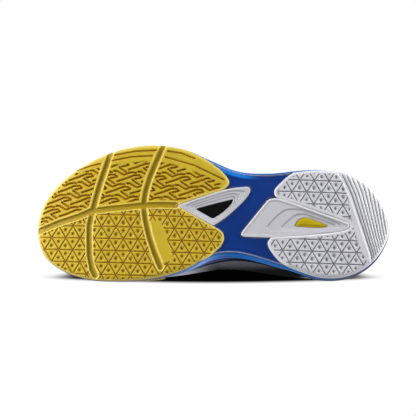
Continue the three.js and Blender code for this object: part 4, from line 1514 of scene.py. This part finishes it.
def cap_top(a):
    """The toe cap's upper edge."""
    k = (2 * a - 1) * CAP_END
    return 0.42 - 0.3 * (k / CAP_END) ** 2


def guard_top(a):
    """The drag guard's upper edge."""
    return 0.04 + 0.09 * a + 0.17 * np.sin(np.pi * a) ** 0.9


def clip_top(a):
    """The heel clip's upper edge, with three soft waves."""
    return 0.5 - 0.32 * (2 * a - 1) ** 2 + 0.03 * np.cos(a * 6 * math.pi)


def eyestay(side):
    """The lace band of one side, with its holes."""
    k0, k1 = (3.0, 8.3) if side > 0 else (-8.3, -3.0)
    piece = panel("eyestay_" + ("lateral" if side > 0 else "medial"), k0, k1, 0.78, 0.995, OVER,
                  OVER + OVERLAY, (110, 16))
    return punch_all(piece, side, EYELETS)


def build_overlays():
    """The bonded and stitched layers over the mesh."""
    settle(panel("toe_cap_film", -CAP_END, CAP_END, 0.012, cap_top, OVER, OVER + OVERLAY, (120, 20)),
           "toe_cap")
    settle(panel("drag_guard_rubber", -5.4, -3.45, 0.012, guard_top, OVER, OVER + OVERLAY + 0.6,
                 (44, 16)), "toe_drag_guard")
    settle(eyestay(1), "lateral_eyestay")
    settle(eyestay(-1), "medial_eyestay")
    for side, name in ((1, "lateral"), (-1, "medial")):
        k0, k1 = (6.2, 8.1) if side > 0 else (-8.1, -6.2)
        settle(panel("saddle_film_" + name, k0, k1, lambda a: 0.42 + 0.05 * (2 * a - 1) ** 2, 0.765,
                     OVER, OVER + OVERLAY, (44, 50)), name + "_saddle")
    settle(panel("heel_clip_shell", HEEL - 2.6, HEEL + 2.6, 0.012, clip_top, OVER, OVER + 1.9, (110, 22),
                 bevel=0.6), "heel_clip")
    settle(panel("heel_tab_film", HEEL - 0.34, HEEL + 0.34, 0.54, 0.99, OVER, OVER + OVERLAY, (18, 30)),
           "heel_tab")


def build_seams():
    """Stitching along the lace bands, the saddles and the collar."""
    lift = OVER + OVERLAY + 0.05
    for side, name in ((1, "lateral"), (-1, "medial")):
        k = side * np.linspace(3.1, 8.2, 120)
        seam("stitches_band_" + name, [surface_line(k, np.full(120, 0.8), lift),
                                       surface_line(k, np.full(120, 0.975), lift)])
        t = np.linspace(0.49, 0.75, 60)
        seam("stitches_saddle_" + name, [surface_line(side * np.full(60, 6.28), t, lift),
                                         surface_line(side * np.full(60, 8.02), t, lift)])
    k = np.linspace(-3.3, 3.3, 160)
    t = cap_top((k / CAP_END + 1) / 2) - 0.022
    seam("stitches_toe", [surface_line(k, t, lift)])
    k = np.linspace(8.5, 17.5, 240)
    k = k[np.abs(k - HEEL) > 0.45]
    seam("stitches_collar", [surface_line(k[k < HEEL], np.full((k < HEEL).sum(), 0.965), SKIN + 0.05),
                             surface_line(k[k > HEEL], np.full((k > HEEL).sum(), 0.965), SKIN + 0.05)])


def build_linings():
    """Stiffeners and linings on the inner face of the upper."""
    settle(panel("toe_puff_sheet", -2.8, 2.8, 0.03, 0.34, UNDER, UNDER - 1.1, (80, 14)), "toe_puff")
    settle(panel("vamp_lining_cloth", -VAMP_END, VAMP_END, 0.06, 0.94, UNDER - 1.3, UNDER - 2.2,
                 (130, 36)), "vamp_lining")
    settle(panel("heel_counter_sheet", HEEL - 4.4, HEEL + 4.4, 0.05,
                 lambda a: 0.58 - 0.3 * (2 * a - 1) ** 2, UNDER, UNDER - 1.6, (120, 18)), "heel_counter")
    pad = panel("collar_pad", HEEL - 3.6, HEEL + 3.6, 0.615, 0.99, UNDER, UNDER - 2.6, (150, 40),
                swell=3.0, bevel=0.8)
    plain(pad)
    settle(pad, "collar_padding")


# ---------------------------------------------------------------- the tongue and the sockliner

TONGUE_BASE = np.array([50.0, -1.0, 51.0])
TONGUE_TIP = np.array([-27.0, -2.0, 103.0])


def tongue_point(u, v, depth):
    """The tongue is an arched plate: u runs from base to tip, v across it from -1 to 1."""
    u, v, depth = np.broadcast_arrays(*(np.asarray(x, float) for x in (u, v, depth)))
    along = (TONGUE_TIP - TONGUE_BASE) / np.linalg.norm(TONGUE_TIP - TONGUE_BASE)
    up = np.cross((0.0, 1.0, 0.0), along)
    up = up / np.linalg.norm(up) * (1 if up[2] > 0 else -1)
    half = 18 + 10 * u
    drop = 8 + 10 * u
    result = TONGUE_BASE + (TONGUE_TIP - TONGUE_BASE) * u[..., None]
    result = result + np.array([0.0, 1.0, 0.0]) * (half * v)[..., None]
    return result + up * (-8 * u * (1 - u) - drop * v ** 2 - depth)[..., None]


def tongue_layer(name, top, bottom, inset, swell, steps=(90, 56), round_tip=0.0):
    """One layer of the tongue, crowned away from its middle face."""
    a, b = np.meshgrid(np.linspace(0, 1, steps[0] + 1), np.linspace(-1, 1, steps[1] + 1), indexing="ij")
    u = inset / 2 + (1 - inset) * a
    narrow = 1 - round_tip * clamp01((a - 0.8) / 0.2) ** 3 - 0.12 * clamp01((0.1 - a) / 0.1) ** 2
    v = b * (1 - inset) * narrow
    crown = np.sqrt(np.maximum(0, (1 - (2 * a - 1) ** 10) * (1 - b ** 6)))
    upper = tongue_point(u, v, top + (swell[0] * (1 - crown)))
    lower = tongue_point(u, v, bottom - swell[1] * (1 - crown))
    run = np.stack([u * 93, v * 24], -1)
    return grid_solid(name, lower, upper, run)


def build_tongue():
    """The tongue: a mesh face over a crowned foam pad, bound at its edge."""
    shell = tongue_layer("tongue_face", 0, 2.0, 0, (0.8, 0.6), round_tip=0.42)
    settle(shell, "tongue_shell", body="tongue")
    pad = tongue_layer("tongue_pad", 2.15, 7.35, 0.1, (0.6, 4.2), round_tip=0.4)
    settle(pad, "tongue_foam", body="tongue")
    a = np.linspace(0, 1, 120)
    v = 0.9 * (1 - 0.42 * clamp01((a - 0.8) / 0.2) ** 3)
    across = np.linspace(-0.5, 0.5, 50)
    along = 0.04 + 0.93 * a
    seam("stitches_tongue", [tongue_point(along, v, -0.02), tongue_point(along, -v, -0.02),
                             tongue_point(np.full(50, 0.962), across, -0.02)], body="tongue")


def insole_slab(name, inset, low, high, spread, dome=0.0):
    """A flat inner layer that follows the footbed, with softened edges."""
    k = np.linspace(0, STATIONS, 209)[:-1]
    n = len(k)
    ring = shrink(curve_at(FEATHER_OUTLINE, k), inset)
    middle = np.stack([ring[:, 0] * 0.985, np.full(n, -6.0)], 1)
    rings = []
    for shrink_to in (0.12, 0.4, 0.7, 0.9, 1.0):
        plan = middle + (ring - middle) * shrink_to
        eased = spread if shrink_to == 1 else 0
        rings.append(np.column_stack([plan, foot_side(plan[:, 0]) + low + eased]))
    rings.append(rings[-1] + np.array([0, 0, (high - low) - 2 * spread]))
    for shrink_to in (0.985, 0.9, 0.7, 0.4, 0.12):
        plan = middle + (ring - middle) * shrink_to
        crown = dome * (1 - shrink_to ** 4)
        rings.append(np.column_stack([plan, foot_side(plan[:, 0]) + high + crown]))
    vertices = np.vstack(rings)
    last = (len(rings) - 1) * n
    faces = ring_faces(len(rings), n) + [tuple(range(n - 1, -1, -1)), tuple(range(last, last + n))]
    piece = new_object(name, vertices, faces)
    set_surface(piece, vertices[:, :2])
    facing_out(piece)
    return piece


def build_insole():
    """The fibre board, and the sockliner: foam with a knitted top."""
    settle(insole_slab("insole_board_sheet", 5.5, 0.35, 2.15, 0.3), "insole_board")
    foam = insole_slab("sockliner_pad", 7.5, 2.5, 6.2, 0.9, dome=0.6)
    settle(foam, "sockliner_foam", body="sockliner")
    settle(insole_slab("sockliner_cloth", 7.5, 7.05, 8.0, 0.4, dome=0.3), "sockliner_cover",
           body="sockliner")


# ---------------------------------------------------------------- stage

# The stage's own numbers are metres.
SHADOW_LINE = -0.0487     # where the contact shadow lies, across the shoe
SHADOW_HALF = 0.15        # half of its length

def one_sided(name, tree_of_colour):
    """A stage surface that is seen from its front only."""
    result = bpy.data.materials.new(name)
    result.use_nodes = True
    tree = result.node_tree
    tree.nodes.clear()
    front = tree_of_colour(tree)
    clear = node(tree, "ShaderNodeBsdfTransparent").outputs[0]
    back = node(tree, "ShaderNodeNewGeometry").outputs["Backfacing"]
    both = node(tree, "ShaderNodeMixShader", {0: back, 1: front, 2: clear}).outputs[0]
    node(tree, "ShaderNodeOutputMaterial", {"Surface": both})
    return result


def stage_card(name, x, y, z, material, up=False):
    """A flat stage surface between two x and two y, facing down or up, for the camera only."""
    corners = [(x[0], y[0], z), (x[0], y[1], z), (x[1], y[1], z), (x[1], y[0], z)]
    card = new_object(name, corners, [(0, 3, 2, 1) if up else (0, 1, 2, 3)], flat=True)
    card.data.materials.append(material)
    for ray in ("diffuse", "glossy", "transmission", "volume_scatter", "shadow"):
        setattr(card, "visible_" + ray, False)


def faded(tree, value, low, high):
    """Runs softly from 0 at low to 1 at high."""
    return remapped(tree, value, low, high, soft=True)


def darkened(tree, amount):
    """Black where the amount is 1 and clear where it is 0."""
    black = node(tree, "ShaderNodeEmission", {"Color": linear("#020202"), "Strength": 1.0}).outputs[0]
    clear = node(tree, "ShaderNodeBsdfTransparent").outputs[0]
    return node(tree, "ShaderNodeMixShader", {0: amount, 1: clear, 2: black}).outputs[0]


def shadow_colour(tree):
    """A soft contact shadow: black in the middle, a thin fading line towards both ends."""
    place = node(tree, "ShaderNodeTexCoord").outputs["Object"]
    axes = node(tree, "ShaderNodeSeparateXYZ", {0: place}).outputs
    away = maths(tree, "ABSOLUTE", axes[0])
    nearness = maths(tree, "POWER", maths(tree, "MULTIPLY", away, 1 / SHADOW_HALF), 2.0)
    nearness = maths(tree, "SUBTRACT", 1.0, nearness)

    ends = faded(tree, away, 0.158, 0.118)
    below = maths(tree, "SUBTRACT", SHADOW_LINE, axes[1])
    above = maths(tree, "SUBTRACT", axes[1], SHADOW_LINE)
    reach_low = maths(tree, "ADD", maths(tree, "MULTIPLY", nearness, 0.0043), 0.0012)
    tall = maths(tree, "MULTIPLY", nearness, nearness)
    reach_high = maths(tree, "ADD", maths(tree, "MULTIPLY", tall, 0.033), -0.0006)
    low = faded(tree, maths(tree, "SUBTRACT", below, reach_low), 0.0016, -0.0014)
    high = faded(tree, maths(tree, "SUBTRACT", above, reach_high), 0.0034, -0.0016)
    dark = maths(tree, "MULTIPLY", ends, maths(tree, "MULTIPLY", low, high))
    return darkened(tree, dark)


def arch_colour(tree):
    """Painted shade under the arch: it deepens outwards and fades away before the forefoot."""
    place = node(tree, "ShaderNodeTexCoord").outputs["Object"]
    axes = node(tree, "ShaderNodeSeparateXYZ", {0: place}).outputs
    outwards = faded(tree, axes[1], -0.039, -0.047)
    deep = maths(tree, "ADD", maths(tree, "MULTIPLY", outwards, 0.26), 0.72)
    along = maths(tree, "MULTIPLY", faded(tree, axes[0], 0.03, -0.005),
                  faded(tree, axes[0], -0.088, -0.07))
    across = maths(tree, "MULTIPLY", deep, faded(tree, axes[1], -0.0545, -0.052))
    return darkened(tree, maths(tree, "MULTIPLY", along, across))


def floor_colour(tree):
    """Pale paper with a soft pool of shade under the shoe."""
    place = node(tree, "ShaderNodeTexCoord").outputs["Object"]

    def pool(across_x, across_y, low, high, dark):
        scale = (1 / across_x, 1 / across_y, 0)
        scaled = node(tree, "ShaderNodeMapping", {"Vector": place, "Scale": scale}).outputs[0]
        away = node(tree, "ShaderNodeVectorMath", {0: scaled}, operation="LENGTH").outputs["Value"]
        return remapped(tree, away, low, high, 1 - dark, 1.0, soft=True)

    shade = maths(tree, "MULTIPLY", pool(0.15, 0.06, 0.75, 1.25, 0.55),
                  pool(0.15, 0.075, 0.6, 2.4, 0.22))
    tone = blend_colour(tree, shade, linear("#101218"), linear("#EFEFF0"))
    return node(tree, "ShaderNodeEmission", {"Color": tone, "Strength": 1.0}).outputs[0]


def area_light(name, place, target, size, power):
    """A soft round light that points at a target."""
    data = bpy.data.lights.new(name, "AREA")
    data.shape = "DISK"
    data.size = size
    data.energy = power
    lamp = placed(name, data)
    lamp.location = place
    lamp.rotation_euler = (Vector(target) - Vector(place)).to_track_quat("-Z", "Y").to_euler()


def build_stage(settings):
    """A pale floor with a painted pool of shade under the shoe, soft lights, a painted contact shadow,
    painted shade under the arch and the camera below.
    """
    scene = bpy.context.scene
    scene.view_settings.view_transform = "Standard"
    world = bpy.data.worlds.new("studio")
    world.use_nodes = True
    tree = world.node_tree
    tree.nodes.clear()
    seen = node(tree, "ShaderNodeLightPath").outputs["Is Camera Ray"]
    soft = node(tree, "ShaderNodeBackground", {"Color": linear("#F4F7FB"), "Strength": 0.34}).outputs[0]
    white = node(tree, "ShaderNodeBackground", {"Color": (1, 1, 1, 1), "Strength": 1.0}).outputs[0]
    mixed = node(tree, "ShaderNodeMixShader", {0: seen, 1: soft, 2: white}).outputs[0]
    node(tree, "ShaderNodeOutputWorld", {"Surface": mixed})
    scene.world = world

    wide = (-4000, 4000)
    stage_card("floor", wide, wide, -0.6, one_sided("floor_paper", floor_colour), up=True)
    # cards seen from below only: a painted contact shadow and painted shade under the arch
    stage_card("contact_shadow", (-200, 200), (-100, -20), 90, one_sided("shadow_soft", shadow_colour))
    stage_card("arch_shade", (-90, 32), (-56, -30), 14, one_sided("shade_soft", arch_colour))

    middle = (0.0, 0.0, 0.0)
    heart = (0.0, 0.0, 0.05)
    area_light("key", (0.66, 0.2, -0.31), middle, 0.45, settings.key_power)
    area_light("rim", (-0.95, 0.4, -0.3), middle, 0.5, 13)
    area_light("fill", (0.1, 0.3, -1.1), middle, 0.9, 1.2)
    area_light("top", (0.3, 0.5, 1.1), heart, 0.9, 12)
    area_light("side", (-0.5, -0.9, 0.6), heart, 0.8, 6)

    data = bpy.data.cameras.new("camera")
    data.lens = 100
    data.sensor_width = 36
    camera = placed("camera", data)
    tilt = settings.camera_tilt
    aim = Vector((0.0042, 0.0037, 0.0))
    camera.location = aim + Vector((0, -math.sin(tilt), -math.cos(tilt))) * settings.camera_distance
    camera.rotation_euler = (tilt, math.pi, 0)
    scene.camera = camera


# ---------------------------------------------------------------- settings

def paint(name, description, code):
    """A colour property with its default given as an sRGB code."""
    return bpy.props.FloatVectorProperty(name=name, description=description, subtype="COLOR", size=3,
                                         min=0.0, max=1.0, default=linear(code)[:3])


def length(name, description, size_mm):
    """A length property with its default given in millimetres."""
    return bpy.props.FloatProperty(name=name, description=description, unit="LENGTH",
                                   subtype="DISTANCE", min=0.0, precision=5, default=size_mm * MM)


class ShoeColours(bpy.types.PropertyGroup):
    """Colours of the moulded parts and of the upper."""

    gum: paint("Gum rubber", "Face of the forefoot tread", "#B49B20")
    # painted shade: the channel floors are a darker gum
    gum_floor: paint("Gum channels", "Floor of the forefoot channels", "#A0860E")
    white: paint("White rubber", "Face of the heel tread", "#BCBBC0")
    plate: paint("Waist plate", "Nylon plate under the waist", "#04307A")
    wing: paint("Side wings", "Shells over the sides of the midsole", "#0878D8")
    frame: paint("Frames", "White frames round both windows", "#BAB9BE")
    pad: paint("Shock pad", "Soft pad in the heel window", "#B49C02")
    mesh: paint("Mesh", "Air mesh of the upper", "#E4E6EA")


class ShoeTread(bpy.types.PropertyGroup):
    """Sizes of the moulded tread."""

    groove_half_width: length("Groove half width", "From the middle of a groove to its lip", 0.66)
    groove_depth: length("Groove depth", "Depth of the triangle grid", 1.25)
    dimple_radius: length("Dimple radius", "Radius of the largest dimples", 2.6)
    channel_depth: length("Channel depth", "Depth of the wide channels of the forefoot", 2.0)
    ridge_height: length("Ridge height", "Height of the ridges behind the heel", 1.2)


class ShoeStitching(bpy.types.PropertyGroup):
    """Sizes of the seams."""

    pitch: length("Pitch", "From one stitch to the next", 2.3)
    stitch: length("Stitch", "Half the length of one stitch", 0.95)
    thread: length("Thread", "Radius of the thread", 0.3)


class ShoeStage(bpy.types.PropertyGroup):
    """Camera and main light."""

    camera_distance: bpy.props.FloatProperty(
        name="Camera distance", description="From the camera to the middle of the tread",
        unit="LENGTH", subtype="DISTANCE", min=0.1, default=0.942)
    camera_tilt: bpy.props.FloatProperty(
        name="Camera tilt", description="How far the camera leans to the inner side",
        subtype="ANGLE", default=math.radians(5.5))
    key_power: bpy.props.FloatProperty(
        name="Key light", description="Power of the light from the toe",
        unit="POWER", min=0.0, default=6.8)


# ---------------------------------------------------------------- operators

class SHOE_OT_forefoot(bpy.types.Operator):
    """Yellow forefoot tread: channels, woven grip and triangle grip"""

    bl_idname = "shoe.forefoot"
    bl_label = "Forefoot tread"

    def execute(self, context):
        build_forefoot(context.scene.shoe_tread)
        return {"FINISHED"}


class SHOE_OT_heel(bpy.types.Operator):
    """White heel tread: triangle grip and ridges"""

    bl_idname = "shoe.heel"
    bl_label = "Heel tread"

    def execute(self, context):
        build_heel(context.scene.shoe_tread)
        return {"FINISHED"}


class SHOE_OT_frames(bpy.types.Operator):
    """Both white frames, the fibre insert and the shock pad"""

    bl_idname = "shoe.frames"
    bl_label = "Waist frames"

    def execute(self, context):
        build_frames()
        return {"FINISHED"}


class SHOE_OT_plate(bpy.types.Operator):
    """Blue plate under the waist"""

    bl_idname = "shoe.plate"
    bl_label = "Waist plate"

    def execute(self, context):
        build_plate()
        return {"FINISHED"}


class SHOE_OT_midsole(bpy.types.Operator):
    """Foam midsole"""

    bl_idname = "shoe.midsole"
    bl_label = "Midsole"

    def execute(self, context):
        build_midsole()
        return {"FINISHED"}


class SHOE_OT_wings(bpy.types.Operator):
    """Bright shells on both sides of the midsole"""

    bl_idname = "shoe.wings"
    bl_label = "Side wings"

    def execute(self, context):
        build_wings()
        return {"FINISHED"}


class SHOE_OT_skin(bpy.types.Operator):
    """Vamp and quarters"""

    bl_idname = "shoe.skin"
    bl_label = "Mesh panels"

    def execute(self, context):
        build_skin()
        return {"FINISHED"}


class SHOE_OT_overlays(bpy.types.Operator):
    """Toe cap, saddles, eyestays, heel tab and heel clip"""

    bl_idname = "shoe.overlays"
    bl_label = "Overlays"

    def execute(self, context):
        build_overlays()
        return {"FINISHED"}


class SHOE_OT_seams(bpy.types.Operator):
    """Rows of stitches on the upper"""

    bl_idname = "shoe.seams"
    bl_label = "Stitching"

    def execute(self, context):
        build_seams()
        return {"FINISHED"}


class SHOE_OT_linings(bpy.types.Operator):
    """Stiffeners, lining and collar padding"""

    bl_idname = "shoe.linings"
    bl_label = "Linings"

    def execute(self, context):
        build_linings()
        return {"FINISHED"}


class SHOE_OT_tongue(bpy.types.Operator):
    """Padded tongue"""

    bl_idname = "shoe.tongue"
    bl_label = "Tongue"

    def execute(self, context):
        build_tongue()
        return {"FINISHED"}


class SHOE_OT_insole(bpy.types.Operator):
    """Insole board and removable sockliner"""

    bl_idname = "shoe.insole"
    bl_label = "Insole"

    def execute(self, context):
        build_insole()
        return {"FINISHED"}


class SHOE_OT_stage(bpy.types.Operator):
    """Floor, lights, contact shadow and camera"""

    bl_idname = "shoe.stage"
    bl_label = "Stage"

    def execute(self, context):
        build_stage(context.scene.shoe_stage)
        return {"FINISHED"}


GROUPS = {"shoe_colours": ShoeColours, "shoe_tread": ShoeTread, "shoe_stitching": ShoeStitching,
          "shoe_stage": ShoeStage}
STEPS = (SHOE_OT_forefoot, SHOE_OT_heel, SHOE_OT_frames, SHOE_OT_plate,
         SHOE_OT_midsole, SHOE_OT_wings, SHOE_OT_skin, SHOE_OT_overlays,
         SHOE_OT_seams, SHOE_OT_linings, SHOE_OT_tongue, SHOE_OT_insole,
         SHOE_OT_stage)


class SHOE_PT_pieces(bpy.types.Panel):
    """Lists the settings and the build steps."""

    bl_idname = "SHOE_PT_pieces"
    bl_label = "Court shoe"
    bl_space_type = "VIEW_3D"
    bl_region_type = "UI"
    bl_category = "Shoe"

    def draw(self, context):
        for key, group in GROUPS.items():
            box = self.layout.box()
            for name in group.__annotations__:
                box.prop(getattr(context.scene, key), name)
        column = self.layout.column(align=True)
        for step in STEPS:
            column.operator(step.bl_idname)


def register():
    for item in (*GROUPS.values(), *STEPS, SHOE_PT_pieces):
        bpy.utils.register_class(item)
    for key, group in GROUPS.items():
        setattr(bpy.types.Scene, key, bpy.props.PointerProperty(type=group))


def unregister():
    for key in GROUPS:
        delattr(bpy.types.Scene, key)
    for item in (SHOE_PT_pieces, *STEPS[::-1], *GROUPS.values()):
        bpy.utils.unregister_class(item)


def main():
    """Builds everything in order."""
    register()
    for step in STEPS:
        build = getattr(bpy.ops.shoe, step.bl_idname.split(".")[1])
        if build() != {"FINISHED"}:
            raise RuntimeError(step.bl_label + " did not finish")


if __name__ == "__main__":
    main()
